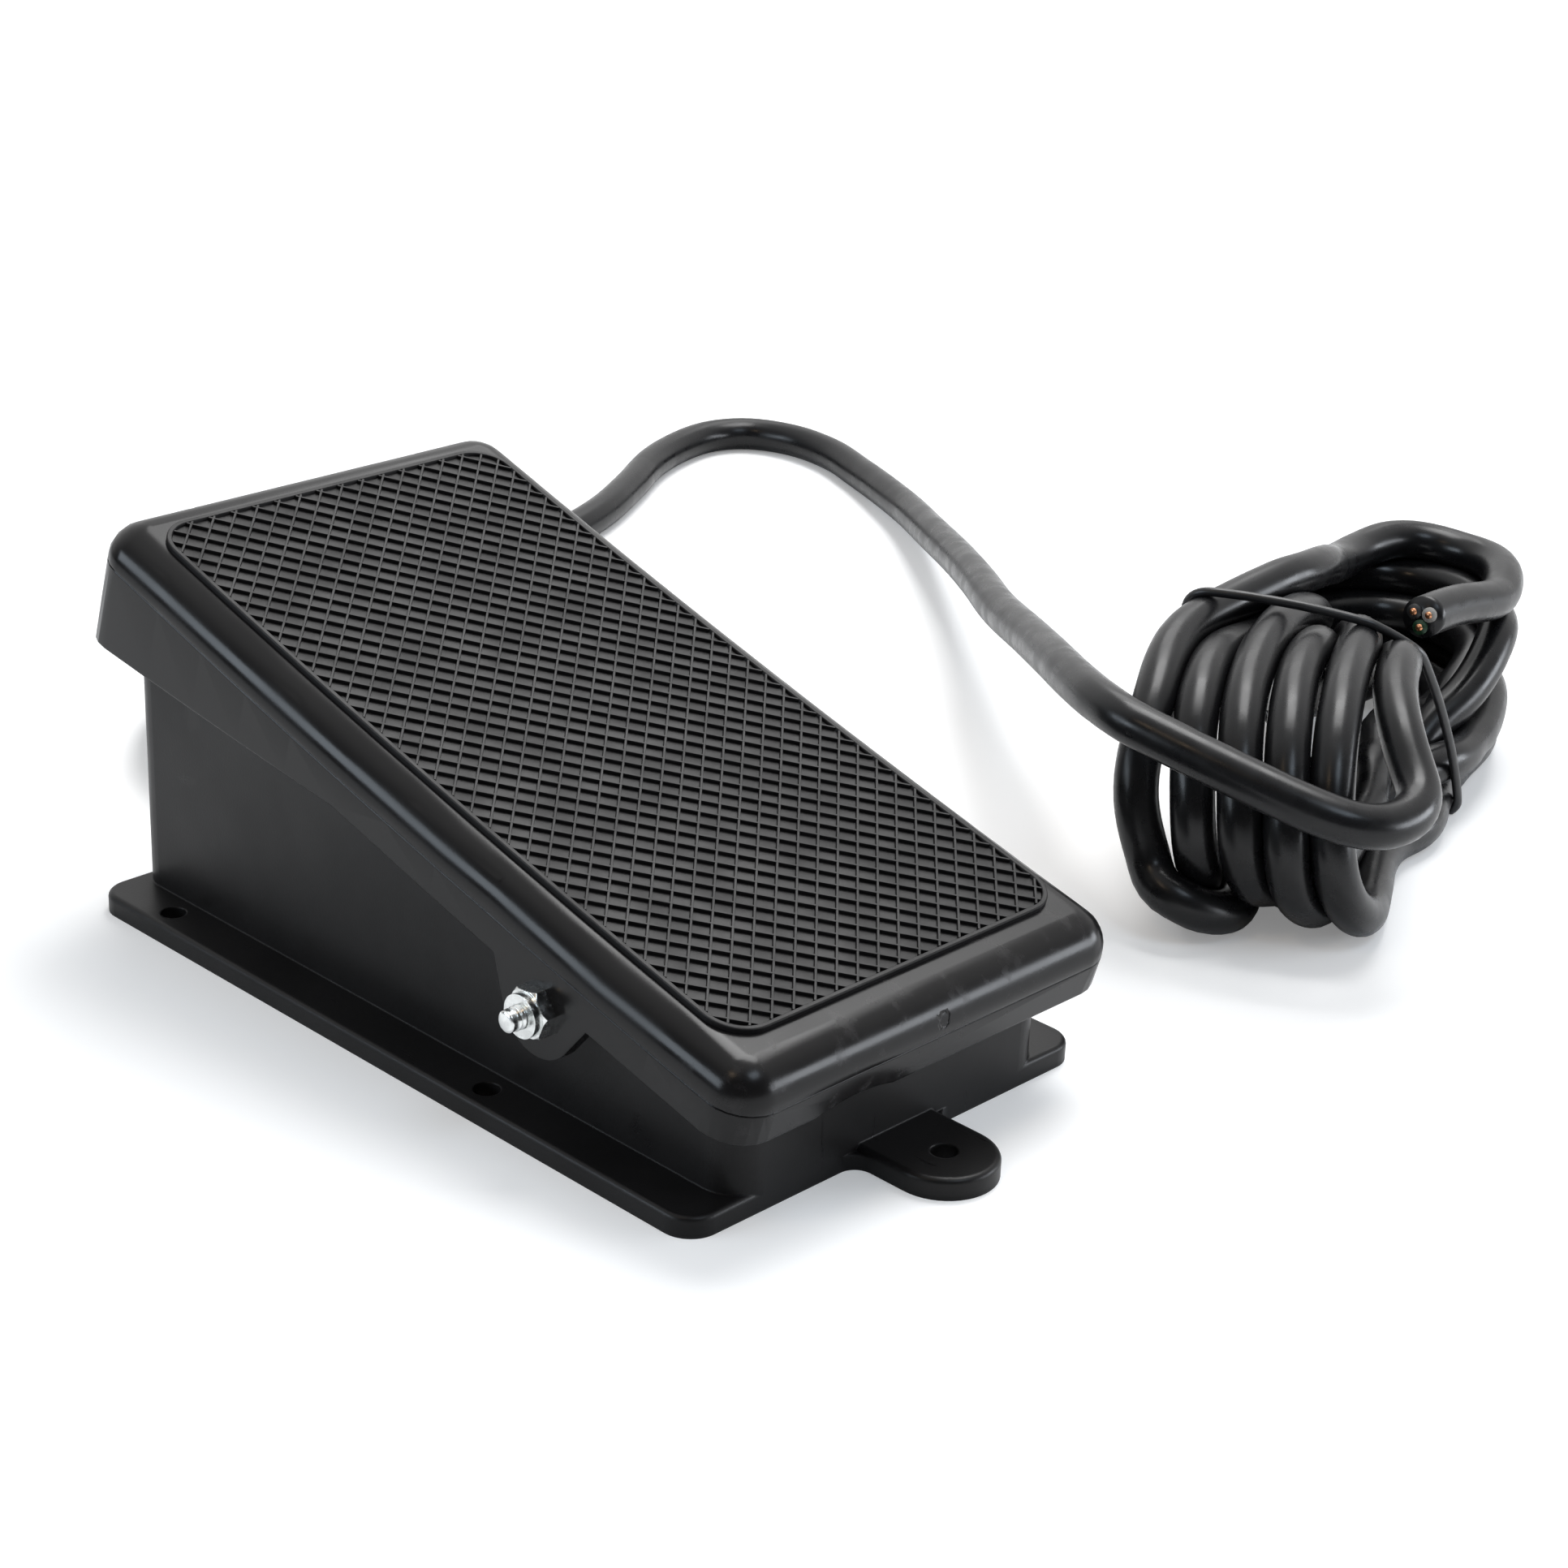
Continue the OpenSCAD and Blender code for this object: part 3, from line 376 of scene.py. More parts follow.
# ---- Materials ----
class Finish:
    """A material under construction: its node tree, its shader and a few wiring helpers."""

    def __init__(self, name, colour, roughness, metallic=0.0, specular=0.5):
        self.material = bpy.data.materials.new(name)
        self.material.use_nodes = True
        self.tree = self.material.node_tree
        self.shader = self.tree.nodes["Principled BSDF"]
        self.place = self.tree.nodes.new("ShaderNodeTexCoord").outputs["Object"]
        self.shader.inputs["Base Color"].default_value = (*colour, 1)
        self.shader.inputs["Roughness"].default_value = roughness
        self.shader.inputs["Metallic"].default_value = metallic
        self.shader.inputs["Specular IOR Level"].default_value = specular
        self.normal = None

    def node(self, kind, **inputs):
        """Makes a node and sets its inputs."""
        made = self.tree.nodes.new(kind)
        for key, value in inputs.items():
            made.inputs[key.replace("_", " ")].default_value = value
        return made

    def join(self, output, target):
        """Links an output to an input."""
        self.tree.links.new(output, target)

    def noise(self, scale, detail=3.0, stretch=(1, 1, 1), turn=(0, 0, 0)):
        """Noise over the piece's place, stretched and turned."""
        mapping = self.node("ShaderNodeMapping", Scale=stretch, Rotation=turn)
        self.join(self.place, mapping.inputs["Vector"])
        noise = self.node("ShaderNodeTexNoise", Scale=scale, Detail=detail)
        self.join(mapping.outputs["Vector"], noise.inputs["Vector"])
        return noise.outputs["Fac"]

    def spread(self, value, low, high, start=0.35, end=0.65):
        """Maps a pattern's span start..end to low..high."""
        spread = self.node("ShaderNodeMapRange")
        spread.inputs["From Min"].default_value = start
        spread.inputs["From Max"].default_value = end
        spread.inputs["To Min"].default_value = low
        spread.inputs["To Max"].default_value = high
        self.join(value, spread.inputs["Value"])
        return spread.outputs["Result"]

    def colours(self, value, first, second):
        """Colours the piece from first to second as the value goes from 0 to 1."""
        mix = self.node("ShaderNodeMix")
        mix.data_type = "RGBA"
        low, high = [s for s in mix.inputs if s.type == "RGBA"]
        low.default_value = (*first, 1)
        high.default_value = (*second, 1)
        self.join(value, mix.inputs["Factor"])
        mixed = [s for s in mix.outputs if s.type == "RGBA"][0]
        self.join(mixed, self.shader.inputs["Base Color"])

    def combined(self, operation, a, b):
        """Joins two values by an operation of the Math node."""
        combined = self.node("ShaderNodeMath")
        combined.operation = operation
        self.join(a, combined.inputs[0])
        self.join(b, combined.inputs[1])
        return combined.outputs[0]

    def product(self, a, b):
        """One value times the other."""
        return self.combined("MULTIPLY", a, b)

    def total(self, a, b):
        """One value plus the other."""
        return self.combined("ADD", a, b)

    def cloud(self, colour, scale, dark, pale, detail=4):
        """Clouds the colour between two shares of itself."""
        cloud = self.spread(self.noise(scale, detail), 0, 1)
        self.colours(cloud, times(colour, dark), times(colour, pale))

    def rough(self, value):
        """Takes the roughness from a value."""
        self.join(value, self.shader.inputs["Roughness"])

    def soften(self, radius):
        """Rounds the shading of sharp edges by the radius."""
        bevel = self.node("ShaderNodeBevel", Radius=radius)
        bevel.samples = 6
        self.normal = bevel.outputs["Normal"]
        self.join(self.normal, self.shader.inputs["Normal"])

    def bump(self, value, depth, strength=1.0):
        """Adds a relief of a depth on top of what shades the piece already."""
        bump = self.node("ShaderNodeBump", Strength=strength, Distance=depth)
        self.join(value, bump.inputs["Height"])
        if self.normal is not None:
            self.join(self.normal, bump.inputs["Normal"])
        self.normal = bump.outputs["Normal"]
        self.join(self.normal, self.shader.inputs["Normal"])


def times(colour, factor):
    """The colour made darker or paler by a factor."""
    return tuple(min(1.0, c * factor) for c in colour)


def satin_base_plastic():
    """Satin moulding: spark-eroded grain, slow changes of sheen and a few fine scratches."""
    look = bpy.context.scene.foot_finish
    made = Finish("satin_base_plastic", look.plastic, 0.38, specular=0.22)
    made.soften(0.0006)
    made.cloud(look.plastic, 55, 0.85, 1.25)
    scratch = made.spread(made.noise(60, 5, (14, 1, 1), (0.3, 0.2, 0.9)), 0.0, -0.12, 0.66, 0.72)
    made.rough(made.total(made.spread(made.noise(35, 3), 0.33, 0.43), scratch))
    made.bump(made.noise(2600, 2), 0.00003, 0.5)
    return made.material


def polished_pedal_plastic():
    """Glossier moulding, rubbed in use: smooth ripples, fine grain, and scuffs by the heel."""
    look = bpy.context.scene.foot_finish
    made = Finish("polished_pedal_plastic", look.plastic, 0.22, specular=0.24)
    made.soften(0.0005)
    scuff = made.spread(made.noise(240, 6, (1, 0.5, 1)), 0, 1, 0.56, 0.75)
    heel = made.node("ShaderNodeSeparateXYZ")
    made.join(made.place, heel.inputs[0])
    pivot_y = float(PIVOT[1])
    scuff = made.product(
        scuff, made.spread(heel.outputs["Y"], 1.0, 0.0, pivot_y - 0.046, pivot_y - 0.030))
    made.colours(scuff, look.plastic, times(look.plastic, 2.6))
    base = made.spread(made.noise(60, 4), 0.17, 0.25)
    made.rough(made.total(base, made.product(scuff, made.spread(made.noise(500, 2), 0.05, 0.25))))
    made.bump(made.noise(45, 2), 0.00012, 0.35)
    made.bump(made.noise(2200, 2), 0.000015, 0.35)
    gate = made.node("ShaderNodeVectorMath")
    gate.operation = "DISTANCE"
    made.join(made.place, gate.inputs[0])
    gate.inputs[1].default_value = GATE_MARK
    ragged = made.spread(made.noise(900, 2), -0.0004, 0.0004)
    edge = made.total(gate.outputs["Value"], ragged)
    made.bump(made.spread(edge, 0, 1, 0.0011, 0.0019), 0.0004)
    return made.material


def tread_plastic():
    """Satin tread with dust in its cells and a ragged grain on the ribs."""
    look = bpy.context.scene.foot_finish
    made = Finish("tread_plastic", look.plastic, 0.42, specular=0.2)
    made.cloud(look.plastic, 90, 0.9, 1.3, 5)
    made.rough(made.spread(made.noise(120, 4), 0.36, 0.48))
    made.bump(made.noise(1500, 3), 0.00004, 0.5)
    return made.material


def bright_zinc():
    """Bright zinc plate: cloudy roughness and fine turning marks."""
    look = bpy.context.scene.foot_finish
    made = Finish("bright_zinc", look.zinc, 0.2, metallic=1.0)
    made.soften(0.0002)
    made.cloud(look.zinc, 500, 1.0, 0.8)
    made.rough(made.spread(made.noise(700, 4), 0.14, 0.30))
    made.bump(made.noise(1800, 3, (4, 1, 1)), 0.00002, 0.4)
    return made.material


def cord_jacket():
    """Smooth black jacket with faint swells along it and a film of dust."""
    look = bpy.context.scene.foot_cord
    made = Finish("cord_jacket", look.colour, 0.22, specular=0.32)
    made.cloud(look.colour, 70, 1.0, 1.5)
    made.rough(made.spread(made.noise(160, 5), 0.24, 0.34))
    made.bump(made.noise(120, 3), 0.00015, 0.25)
    made.bump(made.noise(3000, 2), 0.00001, 0.3)
    return made.material


def plain_finish(name, colour, roughness, metallic=0.0, grain=1200, specular=0.5):
    """Moulded or drawn stock: a slow change of colour, a change of sheen and a fine grain."""
    made = Finish(name, colour, roughness, metallic, specular)
    made.cloud(colour, 80, 0.88, 1.1)
    made.rough(made.spread(made.noise(200, 4), roughness * 0.85, min(1.0, roughness * 1.15)))
    made.bump(made.noise(grain, 2), 0.00002, 0.4)
    return made.material


def bare_copper():
    """Drawn copper of the cut conductors."""
    return plain_finish("bare_copper", (0.72, 0.34, 0.18), 0.35, 1.0)


def dress(node, material):
    """Gives a CAD node its finish."""
    mesh = frame["nodes"][node].data
    mesh.materials.clear()
    mesh.materials.append(material)


# ---- Cord ----
def hank_target():
    """Places that the hank's line is drawn through: six far folds lie flat on each other, five
    near folds stand side by side, and each turn runs from left to right at the far end and from
    bottom to top at the near end."""
    places = list(HANK_START)
    for k, (height, half, reach, shift) in enumerate(FAR_FOLDS):
        places += [
            (22, half - 12, height + 14), (52, shift + half - 3, height + 3),
            (reach - 16, shift + half - 8, height + 1), (reach, shift, height),
            (reach - 14, shift + 7 - half, height), (52, shift + 1 - half, height),
        ]
        if k < len(NEAR_FOLDS):
            top, mid, foot, reach, foot_reach = NEAR_FOLDS[k]
            places += [
                (20, 12 - half, 0.6 * min(height, 12) + 3), (-10, 0.4 * foot - 8, 5.5),
                (-36, 0.8 * foot, 5), (foot_reach, foot, 5),
                (reach - 2, 0.35 * foot + 0.65 * mid, 14), (reach, mid, 31),
                (reach + 12, 0.5 * mid + 0.5 * top, 48), (-36, top, 54), (-10, 0.75 * top, 51),
            ]
    return np.array(places + list(HANK_END), float)


def settle(line, held, step, thickness, rounds=260):
    """Lets the drawn line settle as a cord does. In each round a point moves toward the middle of
    its neighbours, a bend tighter than the least one opens, points of two strands that are
    closer than a thickness push apart, neighbours return to their distance, and the floor holds
    the strands up. The first points stay held."""
    drawn = line.copy()
    index = np.arange(len(line))
    apart = np.abs(index[:, None] - index[None]) * step > 2.8 * thickness
    free = np.ones(len(line))
    free[:held] = 0
    share = free[:, None] / np.maximum(free[:, None] + free[None], 1)
    free = free[:, None]
    for _ in range(rounds):
        for reach, rate in ((1, 0.25), (3, 0.10), (5, 0.10)):
            middle = line.copy()
            middle[reach:-reach] = (line[:-2 * reach] + line[2 * reach:]) / 2
            move = middle - line
            size = np.linalg.norm(move, axis=1)[:, None] + 1e-9
            allowed = (reach * step) ** 2 / (2 * LEAST_BEND) if reach > 1 else 0
            line = line + free * rate * move * np.clip(1 - allowed / size, 0, 1)
        line = line + free * 0.02 * (drawn - line)
        gap = line[:, None] - line[None]
        distance = np.sqrt((gap**2).sum(2)) + 1e-6
        push = np.where(apart & (distance < thickness), thickness - distance, 0) * share / distance
        line = line + free * (push[:, :, None] * gap).sum(1) * 0.5
        for _ in range(2):
            edge = np.diff(line, axis=0)
            length = np.linalg.norm(edge, axis=1)[:, None]
            pull = 0.45 * (length - step) / length * edge
            line[:-1] += free[:-1] * pull
            line[1:] -= free[1:] * pull
        line[:, 2] = np.maximum(line[:, 2], thickness / 2)
    return line


def cord_line(thickness):
    """The cord's whole centreline, in metres: the route over the floor, then the hank."""
    route = (np.array(CORD_ROUTE, float) - HANK_CENTRE) @ HANK_AXES.T
    line = even_line(smooth_line(np.vstack([route, hank_target()]), 10), CORD_STEP)
    held = int(np.argmin(np.linalg.norm(line - route[-1], axis=1)))
    step = float(np.linalg.norm(np.diff(line, axis=0), axis=1).mean())
    line = settle(line, held, step, thickness / MM)
    line = even_line(smooth_line(line, 4), RING_STEP)
    return MM * (HANK_CENTRE + line @ HANK_AXES)


class FOOT_OT_cord(bpy.types.Operator):
    """Makes the power cord with its hank, its cut end and its tie"""
    bl_idname = "foot.cord"
    bl_label = "Cord"

    def execute(self, context):
        look = context.scene.foot_cord
        jacket = cord_jacket()
        line = cord_line(look.diameter)
        cord = add_surface("cord_with_hank", *tube(line, look.diameter / 2, look.sides, 0.0),
                           "base", "cord_jacket", jacket)
        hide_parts("power_cord", "cord_bundle")
        cores = self.cores(line, look.diameter)
        tie = self.tie(line, look.diameter, look.tie_diameter)
        return {"FINISHED"}

    def cores(self, line, diameter):
        """Three insulated conductors cut flush with the jacket's end."""
        end = line[-1]
        along = line[-1] - line[-4]
        along /= np.linalg.norm(along)
        side = np.cross(along, [0, 0, 1.0])
        side /= np.linalg.norm(side)
        up = np.cross(side, along)
        ring, core, strand = 0.23 * diameter, 0.18 * diameter, 0.085 * diameter
        copper = bare_copper()
        made = []
        for k, (name, colour) in enumerate((
                ("core_black", (0.02, 0.02, 0.02)),
                ("core_white", (0.30, 0.29, 0.27)),
                ("core_green", (0.010, 0.045, 0.018)))):
            turn = 2 * np.pi * k / 3 + 0.5
            centre = end + ring * (np.cos(turn) * side + np.sin(turn) * up)
            path = centre + np.linspace(-0.002, 0.0008, 3)[:, None] * along
            piece = add_surface(name, *tube(path, core, 20, 0.0), "base", "wire_insulation",
                                plain_finish(name + "_insulation", colour, 0.45))
            path = centre + np.linspace(-0.002, 0.0012, 3)[:, None] * along
            wire = add_surface(name + "_copper", *tube(path, strand, 14, 0.1), "base",
                               "contact_brass", copper)
            made += [piece, wire]
        return made

    def tie(self, line, diameter, thickness):
        """Wire tie: where the cord crosses the tie's plane, the outline that touches every strand
        is the envelope of the lines p.n = h(a), with h the farthest strand in the direction a."""
        local = (line / MM - HANK_CENTRE) @ HANK_AXES.T
        height = local[:, 2] - TIE_MIDDLE
        off = local[:, 0] - TIE_PLACE + TIE_LEAN * height
        cross = np.nonzero((off[:-1] * off[1:] <= 0) & (np.abs(local[:-1, 1]) < 60))[0]
        strands = local[cross][:, 1:]
        angle = np.radians(np.arange(0, 360, TIE_STEP))
        way = np.stack([np.cos(angle), np.sin(angle)], 1)
        reach = (strands @ way.T).max(0) + (diameter + thickness) / 2 / MM
        reach = sum(np.roll(reach, k) for k in (-1, 0, 1)) / 3
        slope = (np.roll(reach, -1) - np.roll(reach, 1)) / (2 * np.radians(TIE_STEP))
        loop = reach[:, None] * way + slope[:, None] * np.stack([-way[:, 1], way[:, 0]], 1)
        loop = np.roll(loop, -round(TIE_KNOT / TIE_STEP), axis=0)
        out = loop[0, 0] / np.linalg.norm(loop[0])
        loop = np.vstack([loop, loop[:1]])
        shift = np.linspace(-0.55, 0.55, len(loop)) * thickness / MM
        path = np.stack([np.zeros(len(loop)), loop[:, 0], loop[:, 1]], 1)
        path[:, 0] = TIE_PLACE - TIE_LEAN * (path[:, 2] - TIE_MIDDLE) + shift
        tail_up = path[0] + [(-5, 6 * out, 1), (-3, 5 * out, 3), (-1, 3 * out, 2)]
        tail_down = path[-1] + [(-2, 3 * out, -5), (-6, 4 * out, -14), (-9, 3.5 * out, -25)]
        line = smooth_line(np.vstack([tail_up, path, tail_down]), 3)
        line = even_line(line, 1.2)
        line[:, 2] = np.maximum(line[:, 2], thickness / 2 / MM)
        points = MM * (HANK_CENTRE + line @ HANK_AXES)
        tie = add_surface("wire_tie", *tube(points, thickness / 2, 10, 0.6), "base", "tie_plastic",
                          plain_finish("tie_coating", (0.008, 0.008, 0.009), 0.4))
        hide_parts("cord_tie")
        return tie


# ---- Tread ----
def rounded_side(half, low, high, radius, inset, stations, arc):
    """Right half of a rounded rectangle, from its heel to its toe: at an angle a round a corner
    it is the corner's centre + (radius - inset) (sin a, cos a)."""
    a = np.radians(np.linspace(0, 90, arc + 1))
    heel = np.stack([half - radius + (radius - inset) * np.sin(a),
                     low + radius - (radius - inset) * np.cos(a)], 1)
    toe = np.stack([half - radius + (radius - inset) * np.cos(a),
                    high - radius + (radius - inset) * np.sin(a)], 1)
    middle = np.stack([np.full(len(stations), half - inset), stations], 1)
    return np.vstack([heel, middle, toe])


class FOOT_OT_tread(bpy.types.Operator):
    """Makes the tread pad's bordered floor and its lattice of ribs"""
    bl_idname = "foot.tread"
    bl_label = "Tread"

    def execute(self, context):
        """The floor is rings of the pad's outline, each at an inset and a height over the top."""
        size = context.scene.foot_tread
        finish = tread_plastic()
        half, low, high = size.width / MM / 2, -size.heel / MM, size.toe / MM
        radius, top, floor = size.corner / MM, size.height / MM, size.floor / MM
        border = size.border / MM
        stations = np.linspace(low + radius, high - radius, 30)[1:-1]
        levels = [(0.6, -0.4), (0.0, -0.4), (0.0, top - 0.25), (0.07, top - 0.07), (0.25, top),
                  (border - 0.15, top), (border, top - 0.12), (border + 0.15, floor)]
        rings = []
        for inset, height in levels:
            side = rounded_side(half, low, high, radius, inset, stations, 12)
            ring = np.vstack([side, side[::-1] * (-1, 1)])
            rings.append(on_pedal(ring[:, 0], ring[:, 1], pedal_top(ring[:, 1]) + height))
        count = len(rings[0])
        faces = grid_faces(len(rings), count)[:, ::-1].tolist()
        i = np.arange(count // 2 - 1)
        strip = np.stack([i, i + 1, count - 2 - i, count - 1 - i], 1)
        faces += strip.tolist()
        faces += ((len(rings) - 1) * count + strip[:, ::-1]).tolist()
        mat = add_surface(
            "tread_mat", np.vstack(rings), faces, "pedal", "tread_rubber", finish, False)
        flip_outward(mat)
        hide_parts("tread_pad")
        ribs = [self.ribs(sign, half - border, low + border, high - border, radius - border,
                          size.pitch / MM, size.rib / MM, floor, top - 0.02 * (sign > 0))
                for sign in (-1, 1)]
        points = np.vstack([r[0] for r in ribs])
        faces = np.vstack([ribs[0][1], ribs[1][1] + len(ribs[0][0])])
        lattice = add_surface("tread_ribs", points, faces, "pedal", "tread_rubber", finish, False)
        flip_outward(lattice)
        return {"FINISHED"}

    def ribs(self, sign, half, low, high, radius, pitch, width, floor, top):
        """Ribs at 45 degrees: each is a line x + sign u = constant, cut where the rounded
        rectangle ends, with a trapezoid section carried along it over the sagging top."""
        middle = (low + high) / 2
        reach = (half + (high - low) / 2) / np.sqrt(2)
        count = np.floor(reach / pitch)
        offsets = np.arange(-count, count + 1) * pitch + 0.3 * pitch
        t = np.linspace(-reach * 1.5, reach * 1.5, 2401)
        along = np.array([1, sign]) / np.sqrt(2)
        across = np.array([-sign, 1]) / np.sqrt(2)
        spots = offsets[:, None, None] * across + t[None, :, None] * along
        q = np.abs(spots) - (half - radius, (high - low) / 2 - radius)
        inside = np.linalg.norm(np.maximum(q, 0), axis=2) + np.minimum(q.max(2), 0) < radius
        keep = inside.sum(1) > 8
        offsets, inside = offsets[keep], inside[keep]
        start = t[inside.argmax(1)]
        end = t[len(t) - 1 - inside[:, ::-1].argmax(1)]
        share = np.linspace(0, 1, 19)
        run = start[:, None] + (end - start)[:, None] * share
        foot, head = width * 0.62, width / 2
        section = np.array([(-foot, floor - 0.1), (-head, top - 0.06), (-head + 0.06, top),
                            (head - 0.06, top), (head, top - 0.06), (foot, floor - 0.1)])
        centre = offsets[:, None, None] * across + run[:, :, None] * along
        plan = centre[:, :, None] + section[None, None, :, :1] * across
        u = plan[..., 1] + middle
        points = on_pedal(plan[..., 0], u, pedal_top(u) + section[:, 1]).reshape(-1, 3)
        rows, ring = len(share), len(section)
        one = grid_faces(rows, ring)
        ends = np.array([[0, 1, 2, 3], [0, 3, 4, 5]])
        one = np.vstack([one, ends, ends[:, ::-1] + (rows - 1) * ring])
        shift = (np.arange(len(offsets)) * rows * ring)[:, None, None]
        return points, (one[None] + shift).reshape(-1, 4)


# ---- Pedal ----
class FOOT_OT_pedal(bpy.types.Operator):
    """Makes the pedal's shell smooth over its rolled edges"""
    bl_idname = "foot.pedal"
    bl_label = "Pedal"

    def execute(self, context):
        shell = merged_copy("pedal", "pedal_shell", polished_pedal_plastic(), 32)
        move_points(shell, self.under_roll)
        return {"FINISHED"}

    def under_roll(self, points):
        """Lowers what stands over the rolled edge. At a distance i inside the outline, the roll
        lies roll - sqrt(roll^2 - (roll - i)^2) under the pedal's top."""
        y, z = (points - PIVOT).T[1:] / MM
        u = y * np.cos(PEDAL_TILT) + z * np.sin(PEDAL_TILT)
        v = z * np.cos(PEDAL_TILT) - y * np.sin(PEDAL_TILT)
        x = points[:, 0] / MM
        q = np.stack([np.abs(x) - (PEDAL_HALF_WIDTH - PEDAL_CORNER),
                      np.abs(u - PEDAL_MID) - (PEDAL_HALF_LENGTH - PEDAL_CORNER)])
        inset = PEDAL_CORNER - np.linalg.norm(np.maximum(q, 0), axis=0) - np.minimum(q.max(0), 0)
        inset = np.clip(inset, 0, PEDAL_ROLL)
        drop = PEDAL_ROLL - np.sqrt(PEDAL_ROLL**2 - (PEDAL_ROLL - inset) ** 2)
        v = np.minimum(v, pedal_top(u) - drop + 0.01)
        return on_pedal(x, u, v)


class FOOT_OT_base(bpy.types.Operator):
    """Finishes the base, its cover and the strain relief"""
    bl_idname = "foot.base"
    bl_label = "Base"

    def execute(self, context):
        satin = satin_base_plastic()
        dress("housing", satin)
        dress("bottom_cover", satin)
        dress("strain_relief", plain_finish("boot_rubber", (0.012, 0.012, 0.013), 0.55, grain=900))
        return {"FINISHED"}


class FOOT_OT_hardware(bpy.types.Operator):
    """Finishes the pivot hardware and the screws, and threads the pivot screw's end"""
    bl_idname = "foot.hardware"
    bl_label = "Hardware"

    def execute(self, context):
        zinc = bright_zinc()
        for node in ("lock_nut", "pivot_sleeve", "cover_screws", "switch_screws", "lever_pin"):
            dress(node, zinc)
        dress("nut_insert", plain_finish("insert_nylon", (0.78, 0.79, 0.78), 0.4))
        shank = merged_copy("pivot_screw", "pivot_screw_shank", zinc, 30)
        move_points(shank, lambda p: np.maximum(p, (THREAD_START, -9, -9)))
        self.thread(context.scene.foot_finish, zinc)
        return {"FINISHED"}

    def thread(self, look, zinc):
        """Threaded end: at a distance s along it and an angle a, its radius is the crest's less
        the depth times a triangle wave of s / pitch - a / turn, and it narrows at the tip."""
        length = THREAD_START - THREAD_END
        sides = 40
        s = np.linspace(0, length, 190)
        a = np.linspace(0, 2 * np.pi, sides, endpoint=False)
        phase = (s[:, None] / look.thread_pitch - a[None] / (2 * np.pi)) % 1
        wave = np.clip(1.3 * np.abs(2 * phase - 1) - 0.1, 0, 1)
        fade = np.clip((length - THREAD_RUNOUT - s) / 0.0004, 0, 1)[:, None]
        tip = np.clip((s - (length - THREAD_TIP)) / THREAD_TIP, 0, 1)[:, None]
        radius = THREAD_CREST - THREAD_DEPTH * wave * fade - 0.00015 * (1 - fade) - 0.0006 * tip**2
        points = np.stack([np.broadcast_to(THREAD_START - s[:, None], radius.shape),
                           PIVOT[1] + radius * np.cos(a), PIVOT[2] + radius * np.sin(a)], -1)
        ends = [(THREAD_START, PIVOT[1], PIVOT[2]), (THREAD_END, PIVOT[1], PIVOT[2])]
        points = np.vstack([points.reshape(-1, 3), ends])
        faces = grid_faces(len(s), sides).tolist() + end_fans(len(s), sides).tolist()
        thread = add_surface("screw_thread", points, faces, "pedal", "zinc_steel", zinc)
        flip_outward(thread)
        thread.data.set_sharp_from_angle(angle=np.radians(50))


class FOOT_OT_switch(bpy.types.Operator):
    """Finishes the snap-action switch, its wiring and the return spring"""
    bl_idname = "foot.switch"
    bl_label = "Switch"

    def execute(self, context):
        brown = plain_finish("brown_phenolic", (0.045, 0.018, 0.010), 0.4)
        steel = plain_finish("spring_steel", (0.45, 0.46, 0.47), 0.35, 1.0, 2500)
        dress("switch_case", brown)
        dress("switch_cover", brown)
        dress("switch_plunger", plain_finish("red_plunger", (0.55, 0.04, 0.02), 0.35))
        dress("switch_lever", steel)
        dress("switch_terminals", plain_finish("tinned_brass", (0.75, 0.62, 0.36), 0.3, 1.0))
        dress("wire_shrouds", plain_finish("shroud_nylon", (0.62, 0.60, 0.52), 0.5))
        dress("wires", plain_finish("wire_insulation", (0.72, 0.70, 0.65), 0.45))
        coil = add_surface("coil_spring", *tube(MM * self.coil(), MM * SPRING_WIRE / 2, 12),
                           None, "spring_steel", steel)
        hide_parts("return_spring")
        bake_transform(coil)
        return {"FINISHED"}

    def coil(self):
        """Helix whose rise per turn is that of closed ends at both ends and open turns between."""
        turn = np.linspace(0, SPRING_TURNS, SPRING_TURNS * 28 + 1)
        open_turns = np.clip(turn, 0.9, SPRING_TURNS - 0.9) - 0.9
        ends = np.minimum(turn, 0.9) + np.maximum(turn - SPRING_TURNS + 0.9, 0)
        closed = SPRING_WIRE * 0.9 * ends
        free = SPRING_HIGH - SPRING_LOW - SPRING_WIRE - closed[-1]
        z = SPRING_LOW + SPRING_WIRE / 2 + closed + free * open_turns / open_turns[-1]
        radius = (SPRING_D - SPRING_WIRE) / 2
        angle = 2 * np.pi * turn
        return np.stack([radius * np.cos(angle), SPRING_Y + radius * np.sin(angle), z], 1)


# ---- Stage ----
def aim(place, forward, roll):
    """Matrix that stands at a place and looks along forward, its right side tilted up by roll."""
    forward = forward / np.linalg.norm(forward)
    right = np.cross(forward, [0, 0, 1])
    right /= np.linalg.norm(right)
    up = np.cross(right, forward)
    right, up = right * np.cos(roll) + up * np.sin(roll), up * np.cos(roll) - right * np.sin(roll)
    columns = np.stack([right, up, -forward, place], 1)
    return Matrix([*columns.tolist(), (0, 0, 0, 1)])


def softbox(name, place, target, size, power, colour):
    """Square-edged lamp at a place, turned to a target, that the camera doesn't see."""
    place = np.array(place)
    lamp = bpy.data.lights.new(name, "AREA")
    lamp.shape = "RECTANGLE"
    lamp.size, lamp.size_y = size
    lamp.energy = power
    lamp.color = colour
    made = bpy.data.objects.new(name, lamp)
    made.matrix_world = aim(place, np.array(target) - place, 0.0)
    made.visible_camera = False
    bpy.context.scene.collection.objects.link(made)


